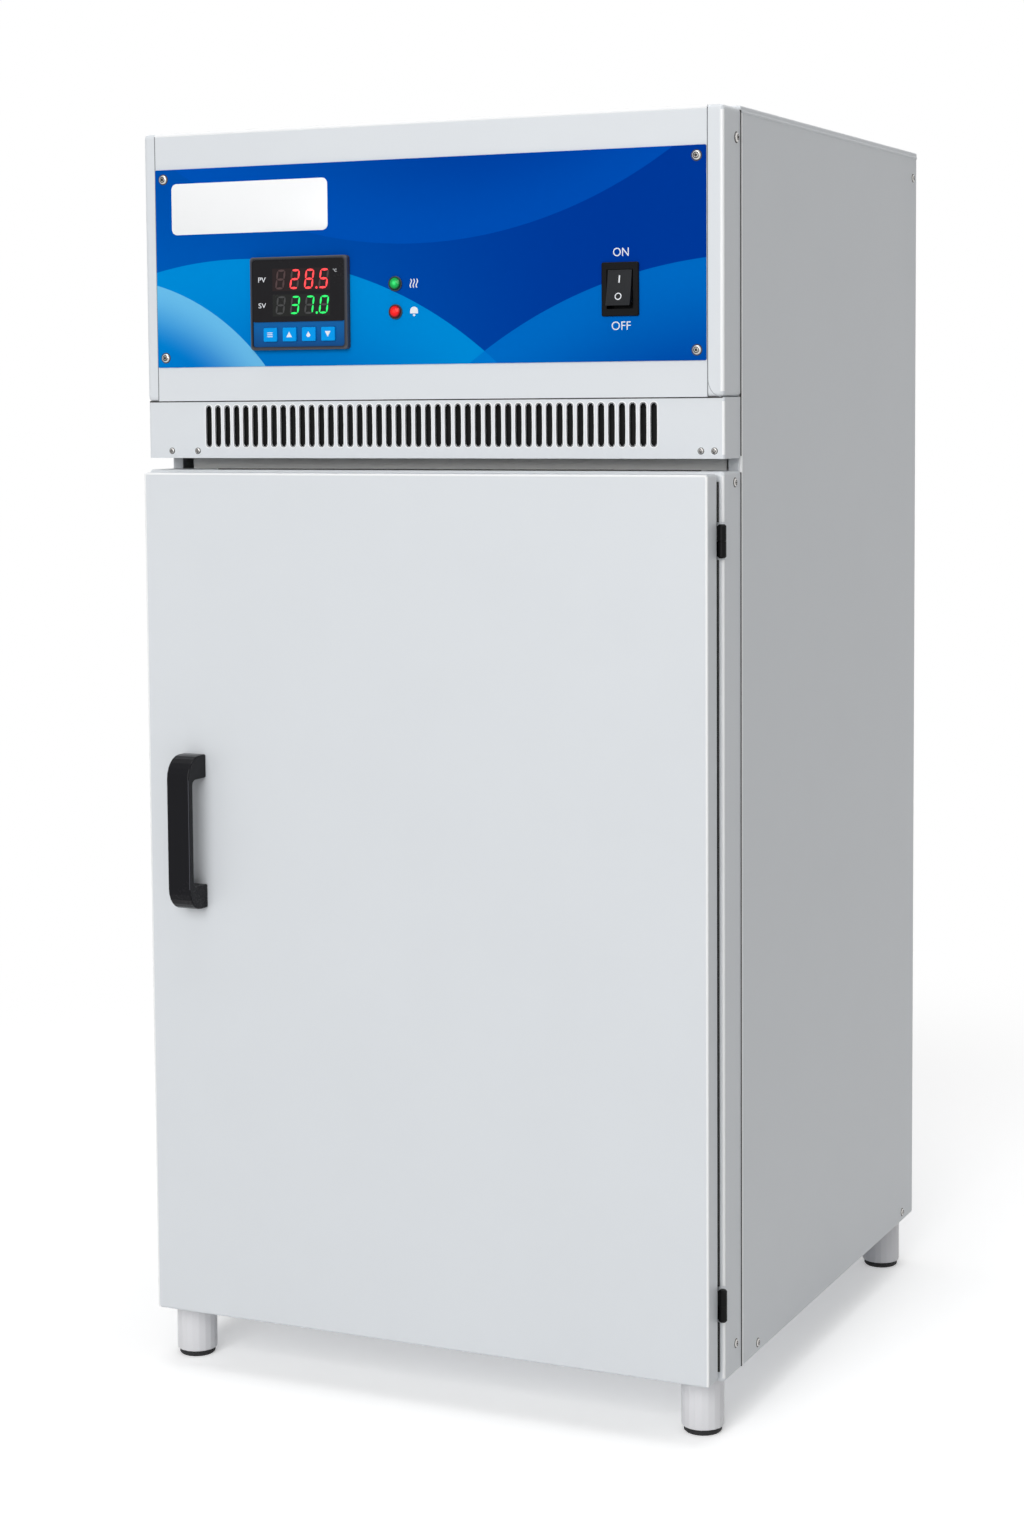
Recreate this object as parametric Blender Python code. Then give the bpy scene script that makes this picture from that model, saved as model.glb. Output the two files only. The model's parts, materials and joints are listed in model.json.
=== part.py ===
"""A floor-standing biochemical oxygen demand incubator, as separate sub-parts with real joints.

A refrigerated and heated cabinet: sheet-metal shell on four round legs, foam jacket and steel liner,
a foam-filled hinged door, a machine compartment on top, and a control head across the front.

Cabinet frame, used for every size below: x to the viewer's right, y to the back, z up, with x = 0 in
the middle of the cabinet, y = 0 on the front plane of head and collar, and z = 0 on its underside.
"""

import math

import bmesh
import bpy
from mathutils import Matrix, Vector

# Sizes that can be set, in metres

GAP = 0.0003
SHEET = 0.0012

# Cabinet shell
CABINET_WIDTH = 0.6427
CABINET_DEPTH = 0.6368
BODY_RISE = 0.0025
SIDE_FLANGE = 0.0128
TOP_LIP = 0.005
TOP_BEND = 0.002
PANEL_BEND = 0.003
BASE_LIP = 0.020
DECK_LIP = 0.015
FRAME_RETURN = 0.020
FRAME_SET_BACK = 0.006
FRAME_GAP_LEFT = 0.0095
FRAME_GAP_RIGHT = 0.0038
FRAME_WINDOW_MARGIN = 0.060
FRAME_SILL = 0.050

# Head and collar, the front slice of the cabinet
FRONT_DEPTH = 0.0455
GROOVE = 0.0017
COLLAR_HEIGHT = 0.8923
COLLAR_BEND = 0.0035
NECK = 0.012
VENT_HEIGHT = 0.0589
VENT_RECESS = 0.0018
FASCIA_HEIGHT = 0.2765
FASCIA_BEND = 0.0045
LEFT_CAP = 0.0138
RIGHT_CAP = 0.0166
HEAD_BRACKET_WIDTH = 0.030
HEAD_BRACKET_SHEET = 0.003

# Slots of the vent strip
SLOT_COUNT = 46
SLOT_PITCH = 0.01105
SLOT_WIDTH = 0.006
SLOT_MARGIN_LOW = 0.0117
SLOT_MARGIN_HIGH = 0.0048

# Control plate and what it carries
PLATE_MARGIN = 0.0008
PLATE_THICKNESS = 0.001
PLATE_CORNER = 0.0012
PLATE_UP = 0.0349
PLATE_HEIGHT = 0.204
CONTROLLER_FROM_LEFT = 0.1154
CONTROLLER_UP = 0.0163
CONTROLLER_WIDTH = 0.112
CONTROLLER_HEIGHT = 0.0943
CONTROLLER_PROUD = 0.0077
CONTROLLER_RIM = 0.003
CONTROLLER_RECESS = 0.0016
CONTROLLER_CHAMFER = 0.001
CONTROLLER_CORNER = 0.003
CONTROLLER_BODY_MARGIN = 0.009
CONTROLLER_BODY_DEPTH = 0.070
WINDOW_THICKNESS = 0.001
KEY_STRIP_HEIGHT = 0.0254
KEY_WIDTH = 0.0158
KEY_HEIGHT = 0.0142
KEY_PITCH = 0.0223
KEY_UP = 0.0155
KEY_OFFSET = 0.0007
KEY_CORNER = 0.0012
KEY_TRAVEL = 0.0008
KEY_STEM = 0.0018
LAMPS_FROM_LEFT = 0.2790
LOWER_LAMP_UP = 0.0525
LAMP_PITCH = 0.028
LAMP_RADIUS = 0.00765
LAMP_RIM = 0.0016
LAMP_LENS_RADIUS = 0.0064
LAMP_PROUD = 0.0040
LAMP_BARREL_RADIUS = 0.0058
LAMP_BARREL_LENGTH = 0.016
SWITCH_FROM_RIGHT = 0.0880
SWITCH_UP = 0.0694
SWITCH_WIDTH = 0.0388
SWITCH_HEIGHT = 0.0520
SWITCH_PROUD = 0.0025
SWITCH_CHAMFER = 0.0008
SWITCH_WELL_WIDTH = 0.0276
SWITCH_WELL_HEIGHT = 0.0380
SWITCH_WALL = 0.0018
SWITCH_BODY_DEPTH = 0.028
ROCKER_WIDTH = 0.0250
ROCKER_LENGTH = 0.0350
ROCKER_FACE = 0.0070
ROCKER_DISH = 0.0008
ROCKER_HUB = 0.0040
ROCKER_FOOT = 0.0061
ROCKER_PIN = 0.0020
ROCKER_TILT = math.radians(11)

# Insulation, liner and what the chamber holds
CHAMBER_WIDTH = 0.500
CHAMBER_HEIGHT = 0.740
CHAMBER_DEPTH = 0.558
CHAMBER_FLOOR = 0.075
CHAMBER_CORNER = 0.020
LINER = 0.001
JACKET_CORNER = 0.004
RACK_SHEET = 0.002
RACK_LEDGE = 0.009
RACK_POST = 0.018
RACK_FRONT = 0.045
RACK_LENGTH = 0.400
RACK_MARGIN = 0.035
RACK_LEVELS = 7
RACK_FIRST = 0.085
RACK_PITCH = 0.095
RACK_RAIL = 0.010
SHELF_LEVELS = {"lower_shelf": 1, "middle_shelf": 3, "upper_shelf": 5}
SHELF_THICKNESS = 0.005
SHELF_BORDER = 0.006
SHELF_WIRE = 0.003
SHELF_BAYS = 15
SHELF_SIDE_CLEARANCE = 0.0012
DUCT_DEPTH = 0.060
DUCT_MARGIN = 0.010
DUCT_RETURN = 0.040
DUCT_SLOTS = 9
DUCT_SLOT_WIDTH = 0.010
DUCT_SLOT_LENGTH = 0.030
DUCT_SLOT_PITCH = 0.040
DUCT_SLOT_MARGIN = 0.030
CHAMBER_FAN_UP = 0.560
CHAMBER_FAN_RADIUS = 0.058
GRILLE_SPOKES = 12
GRILLE_INNER = 0.018
GRILLE_SLOT_WIDTH = 0.006
FAN_HUB_SHARE = 0.28
FAN_HUB_LENGTH = 0.014
FAN_HUB_EDGE = 0.002
FAN_BORE_DEPTH = 0.0093
FAN_SHAFT_RADIUS = 0.003
FAN_BLADES = 5
FAN_BLADE_SHEET = 0.0015
FAN_BLADE_PITCH = math.radians(28)
# Corners of a blade, across and outwards, as shares of the fan's radius
FAN_BLADE = (
    (-0.147, 0.224),
    (0.147, 0.224),
    (0.210, 0.750),
    (0.151, 0.970),
    (-0.084, 0.990),
    (-0.210, 0.700),
)
CHAMBER_MOTOR_RADIUS = 0.026
CHAMBER_MOTOR_NOSE = 0.022
EVAPORATOR_TUBE = 0.005
EVAPORATOR_PASSES = 7
EVAPORATOR_PITCH = 0.040
EVAPORATOR_WIDTH = 0.380
EVAPORATOR_UP = 0.130
HEATER_TUBE = 0.004
HEATER_WIDTH = 0.320
HEATER_PITCH = 0.028
HEATER_UP = 0.450
PROBE_RADIUS = 0.003
PROBE_LENGTH = 0.050
PROBE_X = 0.150
PROBE_UP = 0.560
PROBE_NUT = 0.007

# Machine compartment
COMPRESSOR_FROM_LEFT = 0.17135
COMPRESSOR_Y = 0.400
COMPRESSOR_RADIUS = 0.085
COMPRESSOR_HEIGHT = 0.190
COMPRESSOR_FOOT = 0.006
COMPRESSOR_FOOT_MARGIN = 0.018
# The pot's outline below and above its welded seam, as shares of its radius and height
COMPRESSOR_LOWER = ((0.72, 0.015), (0.90, 0.10), (0.95, 0.22), (0.95, 0.53), (1.0, 0.53))
COMPRESSOR_UPPER = ((1.0, 0.55), (0.95, 0.55), (0.95, 0.78), (0.82, 0.91), (0.48, 0.985))
CONDENSER_FROM_RIGHT = 0.15635
CONDENSER_WIDTH = 0.230
CONDENSER_HEIGHT = 0.230
CONDENSER_THICKNESS = 0.050
CONDENSER_BACK_GAP = 0.030
CONDENSER_CORE = 0.026
CONDENSER_FINS = 18
CONDENSER_FIN_SHARE = 0.4
SHROUD_DEPTH = 0.024
CONDENSER_FAN_RADIUS = 0.090
FAN_TIP_CLEARANCE = 0.004
CONDENSER_MOTOR_RADIUS = 0.028
CONDENSER_MOTOR_LENGTH = 0.040
SHROUD_ARM = 0.010
LOUVRE_ROWS = 9
LOUVRE_COLUMNS = 2
LOUVRE_PITCH = 0.020
LOUVRE_LENGTH = 0.085
LOUVRE_WIDTH = 0.006
LOUVRE_BRIDGE = 0.020
INLET_FROM_LEFT = 0.09135
INLET_UP = 0.090
INLET_WIDTH = 0.048
INLET_HEIGHT = 0.030
INLET_SOCKET_WIDTH = 0.025
INLET_SOCKET_HEIGHT = 0.017
INLET_WALL = 0.0025
INLET_PROUD = 0.003
INLET_DEPTH = 0.022

# Door and hinges
DOOR_LEFT = 0.01405
DOOR_RIGHT = 0.00465
DOOR_UP = 0.0036
DOOR_HEIGHT = 0.8862
DOOR_THICKNESS = 0.0243
DOOR_STAND_OFF = 0.0081
DOOR_EDGE = 0.0028
DOOR_FIELD_MARGIN = 0.072
DOOR_FIELD_RISE = 0.0045
DOOR_FIELD_SLOPE = 0.006
DOOR_FIELD_CORNER = 0.018
GASKET_MARGIN = 0.027
GASKET_WIDTH = 0.026
GASKET_BULB = 0.014
GASKET_SHOULDER = 0.0028
GASKET_BASE = 0.0022
GASKET_CORNER = 0.030
HANDLE_CENTRE = 0.0560
HANDLE_WIDTH = 0.026
HANDLE_UP = 0.4348
HANDLE_LENGTH = 0.1604
HANDLE_STAND_OFF = 0.0353
HANDLE_GRIP = 0.0088
HANDLE_FOOT = 0.0245
HANDLE_OUTER_RADIUS = 0.0235
HANDLE_INNER_RADIUS = 0.006
HANDLE_CHAMFER = 0.0012
HINGE_IN = 0.00065
HINGE_FORWARD = 0.004
HINGE_RADIUS = 0.00425
HINGE_LENGTH = 0.0325
HINGE_PIN = 0.0016
HINGE_PIN_LENGTH = 0.013
HINGE_DOME = 0.0015
HINGE_LEAF = 0.0024
HINGE_LEAF_WIDTH = 0.0225
UPPER_HINGE_UP = 0.8095
LOWER_HINGE_UP = 0.0621

# Legs
LEG_HEIGHT = 0.058
LEG_RADIUS = 0.0214
LEG_WALL = 0.002
LEG_LIP = 0.0015
LEG_INSET_X = 0.03055
LEG_FRONT_Y = 0.0193
LEG_BACK_INSET = 0.0273
PAD_SHOWN = 0.006
PAD_SPIGOT = 0.018

# Places that follow from those sizes

HALF = CABINET_WIDTH / 2
BODY_FRONT = FRONT_DEPTH + GROOVE
NECK_TOP = COLLAR_HEIGHT + NECK
FASCIA_BOTTOM = NECK_TOP + VENT_HEIGHT + GAP
HEAD_TOP = FASCIA_BOTTOM + FASCIA_HEIGHT
BODY_TOP = HEAD_TOP + BODY_RISE
SIDE_TOP = BODY_TOP - TOP_LIP - GAP
INSIDE = HALF - SIDE_FLANGE - GAP
FASCIA_LEFT = -HALF + LEFT_CAP
FASCIA_RIGHT = HALF - RIGHT_CAP
BACK_INNER = CABINET_DEPTH - SHEET - GAP

JACKET_HALF = INSIDE - SHEET - GAP
JACKET_BACK = BACK_INNER - SHEET - GAP
JACKET_TOP = COLLAR_HEIGHT - SHEET - GAP
CHAMBER_TOP = CHAMBER_FLOOR + CHAMBER_HEIGHT
CHAMBER_HALF = CHAMBER_WIDTH / 2
CHAMBER_FRONT = SHEET + GAP
CHAMBER_BACK = CHAMBER_FRONT + CHAMBER_DEPTH
DECK_TOP = JACKET_TOP + GAP + SHEET
FRAME_FRONT = BODY_FRONT + FRAME_SET_BACK
FRAME_LEFT_EDGE = -INSIDE + FRAME_GAP_LEFT
FRAME_RIGHT_EDGE = INSIDE - FRAME_GAP_RIGHT
DUCT_FRONT = CHAMBER_BACK - GAP - DUCT_DEPTH

PLATE_BACK = -GAP
PLATE_FRONT = PLATE_BACK - PLATE_THICKNESS
PLATE_LEFT = FASCIA_LEFT + PLATE_MARGIN
PLATE_RIGHT = FASCIA_RIGHT - PLATE_MARGIN
PLATE_BOTTOM = FASCIA_BOTTOM + PLATE_UP
SEAT = PLATE_FRONT - GAP
CONTROLLER_LEFT = PLATE_LEFT + CONTROLLER_FROM_LEFT
CONTROLLER_BOTTOM = PLATE_BOTTOM + CONTROLLER_UP
CONTROLLER_FRONT = PLATE_FRONT - CONTROLLER_PROUD
CONTROLLER_FLOOR = CONTROLLER_FRONT + CONTROLLER_RECESS
LAMP_X = PLATE_LEFT + LAMPS_FROM_LEFT
LAMP_Z = PLATE_BOTTOM + LOWER_LAMP_UP
SWITCH_X = PLATE_RIGHT - SWITCH_FROM_RIGHT
SWITCH_Z = PLATE_BOTTOM + SWITCH_UP
COMPRESSOR_X = -HALF + COMPRESSOR_FROM_LEFT
CONDENSER_X = HALF - CONDENSER_FROM_RIGHT
INLET_X = -HALF + INLET_FROM_LEFT
CONDENSER_BACK = BACK_INNER - CONDENSER_BACK_GAP
CONDENSER_FRONT = CONDENSER_BACK - CONDENSER_THICKNESS
CONDENSER_Z = DECK_TOP + GAP + CONDENSER_HEIGHT / 2

DOOR_LEFT_EDGE = -HALF + DOOR_LEFT
DOOR_RIGHT_EDGE = HALF - DOOR_RIGHT
DOOR_TOP = DOOR_UP + DOOR_HEIGHT
DOOR_BACK = -DOOR_STAND_OFF
DOOR_FRONT = DOOR_BACK - DOOR_THICKNESS
HINGE_X = HALF - HINGE_IN
HINGE_Y = -HINGE_FORWARD

# The object's own frame: the middle of its bounding box, on the floor
BOX_LEFT = -HALF
BOX_RIGHT = HINGE_X + HINGE_RADIUS
BOX_FRONT = DOOR_FRONT - HANDLE_STAND_OFF
BOX_BACK = CABINET_DEPTH + INLET_PROUD
CABINET_PLACE = (-(BOX_LEFT + BOX_RIGHT) / 2, -(BOX_FRONT + BOX_BACK) / 2, LEG_HEIGHT)

# Finishes: colour, roughness, metallic
FINISHES = {
    "white_paint": ((0.72, 0.75, 0.78), 0.42, 0.0),
    "blue_plate": ((0.0, 0.17, 0.60), 0.35, 0.0),
    "black_plastic": ((0.018, 0.018, 0.02), 0.35, 0.0),
    "grey_plastic": ((0.16, 0.15, 0.14), 0.40, 0.0),
    "dark_window": ((0.010, 0.012, 0.014), 0.12, 0.0),
    "key_blue": ((0.0, 0.28, 0.85), 0.40, 0.0),
    "green_lens": ((0.02, 0.60, 0.10), 0.20, 0.0),
    "red_lens": ((0.75, 0.02, 0.02), 0.20, 0.0),
    "stainless": ((0.62, 0.63, 0.65), 0.30, 1.0),
    "black_rubber": ((0.015, 0.015, 0.015), 0.80, 0.0),
    "grey_rubber": ((0.35, 0.36, 0.37), 0.70, 0.0),
    "galvanised": ((0.55, 0.57, 0.60), 0.45, 1.0),
    "foam": ((0.86, 0.80, 0.58), 0.95, 0.0),
    "copper": ((0.80, 0.40, 0.25), 0.30, 1.0),
    "aluminium": ((0.75, 0.76, 0.78), 0.35, 1.0),
    "black_steel": ((0.02, 0.02, 0.022), 0.40, 0.3),
}


# Drawing tools


def across(axis, u, v, along):
    """A point from its two coordinates in the plane across an axis, and its place along the axis."""
    return {"X": (along, u, v), "Y": (u, along, v), "Z": (u, v, along)}[axis]


def rectangle(u0, u1, v0, v1):
    """The outline of a rectangle."""
    return [(u0, v0), (u1, v0), (u1, v1), (u0, v1)]


def rounded(u0, u1, v0, v1, radius, steps=3):
    """The outline of a rectangle with round corners."""
    centres = (
        (u1 - radius, v1 - radius),
        (u0 + radius, v1 - radius),
        (u0 + radius, v0 + radius),
        (u1 - radius, v0 + radius),
    )
    outline = []
    for quarter, (cu, cv) in enumerate(centres):
        for step in range(steps + 1):
            angle = math.pi / 2 * (quarter + step / steps)
            outline.append((cu + radius * math.cos(angle), cv + radius * math.sin(angle)))
    return outline


def slot(u, v0, v1, width, turn=0.0, about=(0.0, 0.0), steps=3):
    """The outline of a slot with round ends, upright, then turned about a point."""
    radius = width / 2
    outline = []
    for end, centre in ((0, v1 - radius), (1, v0 + radius)):
        for step in range(steps + 1):
            angle = math.pi * (end + step / steps)
            outline.append((u + radius * math.cos(angle), centre + radius * math.sin(angle)))
    c, s = math.cos(turn), math.sin(turn)
    au, av = about
    return [(au + (p - au) * c - (q - av) * s, av + (p - au) * s + (q - av) * c) for p, q in outline]


def circle(u, v, radius, steps=20):
    """The outline of a circle."""
    turns = [2 * math.pi * step / steps for step in range(steps)]
    return [(u + radius * math.cos(turn), v + radius * math.sin(turn)) for turn in turns]


def prism(outline, axis, start, end, holes=()):
    """A closed outline and its holes, drawn across an axis and extruded along it."""
    bm = bmesh.new()
    edges = []
    for loop in (outline, *holes):
        verts = [bm.verts.new(across(axis, u, v, start)) for u, v in loop]
        for first, second in zip(verts, verts[1:] + verts[:1]):
            edges.append(bm.edges.new((first, second)))
    normal = across(axis, 0.0, 0.0, 1.0)
    bmesh.ops.triangle_fill(bm, use_beauty=True, use_dissolve=False, edges=edges, normal=normal)
    grown = bmesh.ops.extrude_face_region(bm, geom=bm.faces[:])
    moved = [item for item in grown["geom"] if isinstance(item, bmesh.types.BMVert)]
    bmesh.ops.translate(bm, verts=moved, vec=across(axis, 0.0, 0.0, end - start))
    bmesh.ops.recalc_face_normals(bm, faces=bm.faces)
    return bm


def boxes(*corners):
    """Closed boxes in one mesh, each between its low and its high corner."""
    bm = bmesh.new()
    for low, high in corners:
        middle = (Vector(high) + Vector(low)) / 2
        size = Vector(high) - Vector(low)
        bmesh.ops.create_cube(bm, size=1.0, matrix=Matrix.Translation(middle) @ Matrix.Diagonal((*size, 1.0)))
    return bm


def copy_into(target, source):
    """Adds one mesh's faces to another."""
    copied = {vert: target.verts.new(vert.co) for vert in source.verts}
    for face in source.faces:
        target.faces.new([copied[vert] for vert in face.verts])
    source.free()


def tray(low, high, *open_sides):
    """A box without the named sides, such as +Y, for Solidify to give it a sheet's thickness."""
    bm = boxes((low, high))
    gone = []
    for sign, axis in open_sides:
        outwards = Vector(across(axis, 0.0, 0.0, float(f"{sign}1")))
        gone += [face for face in bm.faces if face.normal.dot(outwards) > 0.9]
    bmesh.ops.delete(bm, geom=gone, context="FACES")
    return bm


def bend(bm, radius, steps=3):
    """Rounds each fold of a tray, the edges that still have a face on both sides."""
    folds = [edge for edge in bm.edges if len(edge.link_faces) == 2]
    bmesh.ops.bevel(bm, geom=folds, offset=radius, segments=steps, affect="EDGES", profile=0.5)
    return bm


def loft(sections, closed=False):
    """A skin over a row of outlines with as many points each, capped unless it closes on itself."""
    bm = bmesh.new()
    rows = [[bm.verts.new(point) for point in section] for section in sections]
    pairs = list(zip(rows, rows[1:]))
    if closed:
        pairs.append((rows[-1], rows[0]))
    for first, second in pairs:
        for here in range(len(first)):
            there = (here + 1) % len(first)
            bm.faces.new((first[here], first[there], second[there], second[here]))
    if not closed:
        bm.faces.new(rows[0])
        bm.faces.new(rows[-1])
    bmesh.ops.recalc_face_normals(bm, faces=bm.faces)
    return bm


def section(axis, along, outline):
    """An outline placed across an axis, as one section of a loft."""
    return [across(axis, u, v, along) for u, v in outline]


def turned(profile, axis, centre, steps=20):
    """A profile of (radius, along) pairs turned once round an axis through a point."""
    bm = bmesh.new()
    u, v = centre
    verts = [bm.verts.new(across(axis, u + radius, v, along)) for radius, along in profile]
    edges = [bm.edges.new(pair) for pair in zip(verts, verts[1:])]
    if profile[0][0] > 0:
        edges.append(bm.edges.new((verts[-1], verts[0])))
    bmesh.ops.spin(
        bm,
        geom=verts + edges,
        cent=across(axis, u, v, 0.0),
        axis=across(axis, 0.0, 0.0, 1.0),
        angle=2 * math.pi,
        steps=steps,
        use_merge=True,
    )
    bmesh.ops.remove_doubles(bm, verts=bm.verts, dist=0.00001)
    bmesh.ops.recalc_face_normals(bm, faces=bm.faces)
    return bm


def arc(cu, cv, radius, start, end, steps=4):
    """Points on an arc, from one angle to another in degrees."""
    turns = [math.radians(start + (end - start) * step / steps) for step in range(steps + 1)]
    return [(cu + radius * math.cos(turn), cv + radius * math.sin(turn)) for turn in turns]


def empty(name, place, parent=None):
    """A frame of reference that carries sub-parts."""
    holder = bpy.data.objects.new(name, None)
    bpy.context.scene.collection.objects.link(holder)
    holder.parent = parent
    holder.location = place
    return holder


def add(name, bm, finish, holder, smooth=0.0):
    """One named sub-part, drawn in the cabinet frame and carried by a holder, with its own material."""
    mesh = bpy.data.meshes.new(name)
    bm.to_mesh(mesh)
    bm.free()
    if smooth:
        mesh.shade_smooth()
        mesh.set_sharp_from_angle(angle=math.radians(smooth))
    part = bpy.data.objects.new(name, mesh)
    bpy.context.scene.collection.objects.link(part)
    carry(part, holder)
    paint(part, finish)
    return part


def carry(part, holder):
    """Parents a piece to a holder and keeps its cabinet coordinates."""
    part.parent = holder
    if holder is not cabinet:
        part.location = -holder.location


def paint(part, finish):
    """Gives a piece a material of its own."""
    colour, roughness, metallic = FINISHES[finish]
    material = bpy.data.materials.new(f"{part.name}_{finish}")
    material.use_nodes = True
    shader = material.node_tree.nodes["Principled BSDF"]
    shader.inputs["Base Color"].default_value = (*colour, 1.0)
    shader.inputs["Roughness"].default_value = roughness
    shader.inputs["Metallic"].default_value = metallic
    part.data.materials.append(material)


def sheet(part, thickness=SHEET):
    """Gives an open tray its sheet, inwards from the drawn faces."""
    solidify = part.modifiers.new("sheet", "SOLIDIFY")
    solidify.thickness = thickness
    solidify.offset = -1.0
    solidify.use_even_offset = True
    return part


def combine(part, bm, operation):
    """Cuts a hidden solid from a piece, or joins it to the piece."""
    helper_name = f"{part.name}_{operation.lower()}_{len(part.modifiers)}"
    mesh = bpy.data.meshes.new(helper_name)
    bm.to_mesh(mesh)
    bm.free()
    helper = bpy.data.objects.new(helper_name, mesh)
    bpy.context.scene.collection.objects.link(helper)
    helper.parent = part.parent
    helper.location = part.location
    helper.hide_render = True
    helper.display_type = "WIRE"
    boolean = part.modifiers.new(operation.lower(), "BOOLEAN")
    boolean.operation = operation
    boolean.solver = "EXACT"
    boolean.object = helper
    return part


def cut(part, bm):
    """Cuts a solid from a piece."""
    return combine(part, bm, "DIFFERENCE")


def join(part, bm):
    """Joins a solid to a piece."""
    return combine(part, bm, "UNION")


def tube(name, points, radius, finish, holder):
    """A bent tube along a row of points, with closed ends."""
    curve = bpy.data.curves.new(name, "CURVE")
    curve.dimensions = "3D"
    curve.bevel_depth = radius
    curve.bevel_resolution = 2
    curve.use_fill_caps = True
    spline = curve.splines.new("POLY")
    spline.points.add(len(points) - 1)
    for point, place in zip(spline.points, points):
        point.co = (*place, 1.0)
    part = bpy.data.objects.new(name, curve)
    bpy.context.scene.collection.objects.link(part)
    carry(part, holder)
    paint(part, finish)
    return part


def serpentine(y, bottom, passes, pitch, width, steps=5):
    """The centre line of a coil that runs to and fro in upright plane y, with round turns."""
    points = []
    straight = width / 2 - pitch / 2
    for row in range(passes):
        side = 1 if row % 2 == 0 else -1
        z = bottom + row * pitch
        points.append((-side * straight, y, z))
        points.append((side * straight, y, z))
        if row < passes - 1:
            for step in range(1, steps):
                angle = math.pi * step / steps - math.pi / 2
                reach = pitch / 2 * math.cos(angle)
                points.append((side * (straight + reach), y, z + pitch / 2 + pitch / 2 * math.sin(angle)))
    return points


def fan(name, x, z, front, radius, finish, holder):
    """An axial fan: a hub with a blind bore on the motor's side, and pitched blades."""
    hub = radius * FAN_HUB_SHARE
    bore = FAN_SHAFT_RADIUS + GAP
    back = front + FAN_HUB_LENGTH
    profile = [
        (0.0, front),
        (hub - FAN_HUB_EDGE, front),
        (hub, front + FAN_HUB_EDGE),
        (hub, back),
        (bore, back),
        (bore, back - FAN_BORE_DEPTH),
        (0.0, back - FAN_BORE_DEPTH),
    ]
    part = add(name, turned(profile, "Y", (x, z), 20), finish, holder, smooth=40)
    blades = bmesh.new()
    corners = [(share_across * radius, share_out * radius) for share_across, share_out in FAN_BLADE]
    centre = Matrix.Translation((x, (front + back) / 2, z))
    pitch = Matrix.Rotation(FAN_BLADE_PITCH, 4, "Z")
    for blade in range(FAN_BLADES):
        piece = prism(corners, "Y", -FAN_BLADE_SHEET / 2, FAN_BLADE_SHEET / 2)
        turn = Matrix.Rotation(2 * math.pi * blade / FAN_BLADES, 4, "Y")
        bmesh.ops.transform(piece, matrix=centre @ turn @ pitch, verts=piece.verts)
        copy_into(blades, piece)
    return join(part, blades)


# The sub-parts, group by group


def make_shell():
    """Side pans, top cover, back panel, base pan and the deck of the machine compartment."""
    for name, side, opening in (("left_side_panel", -1, "+X"), ("right_side_panel", 1, "-X")):
        outer, inner = side * HALF, side * (HALF - SIDE_FLANGE)
        low = (min(outer, inner), BODY_FRONT, 0.0)
        high = (max(outer, inner), CABINET_DEPTH, SIDE_TOP)
        panel = add(name, bend(tray(low, high, opening), PANEL_BEND), "white_paint", cabinet, smooth=50)
        sheet(panel)
    cover = tray((-HALF, BODY_FRONT, SIDE_TOP + GAP), (HALF, CABINET_DEPTH, BODY_TOP), "-Z")
    sheet(add("top_cover", bend(cover, TOP_BEND), "white_paint", cabinet, smooth=50))
    base = tray((-INSIDE, BODY_FRONT, 0.0), (INSIDE, BACK_INNER, BASE_LIP), "+Z", "-Y")
    sheet(add("base_pan", bend(base, TOP_BEND), "galvanised", cabinet, smooth=50))
    deck_front = FRAME_FRONT + FRAME_RETURN + GAP
    deck = tray((-INSIDE, deck_front, JACKET_TOP + GAP), (INSIDE, BACK_INNER, DECK_TOP + DECK_LIP), "+Z")
    sheet(add("machine_deck", bend(deck, TOP_BEND), "galvanised", cabinet, smooth=50))
    make_back_panel()


def make_back_panel():
    """The rear sheet, with louvre slots behind the condenser and the cut-out of the mains inlet."""
    holes = []
    step = LOUVRE_LENGTH + LOUVRE_BRIDGE
    for column in range(LOUVRE_COLUMNS):
        x = CONDENSER_X + (column - (LOUVRE_COLUMNS - 1) / 2) * step
        for row in range(LOUVRE_ROWS):
            z = CONDENSER_Z + (row - (LOUVRE_ROWS - 1) / 2) * LOUVRE_PITCH
            upright = slot(z, x - LOUVRE_LENGTH / 2, x + LOUVRE_LENGTH / 2, LOUVRE_WIDTH)
            holes.append([(u, v) for v, u in upright])
    body_x = INLET_SOCKET_WIDTH / 2 + INLET_WALL + GAP
    body_z = INLET_SOCKET_HEIGHT / 2 + INLET_WALL + GAP
    inlet_z = DECK_TOP + INLET_UP
    holes.append(rectangle(INLET_X - body_x, INLET_X + body_x, inlet_z - body_z, inlet_z + body_z))
    outline = rectangle(-INSIDE, INSIDE, 0.0, SIDE_TOP)
    add("back_panel", prism(outline, "Y", CABINET_DEPTH - SHEET, CABINET_DEPTH, holes), "galvanised", cabinet)


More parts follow.
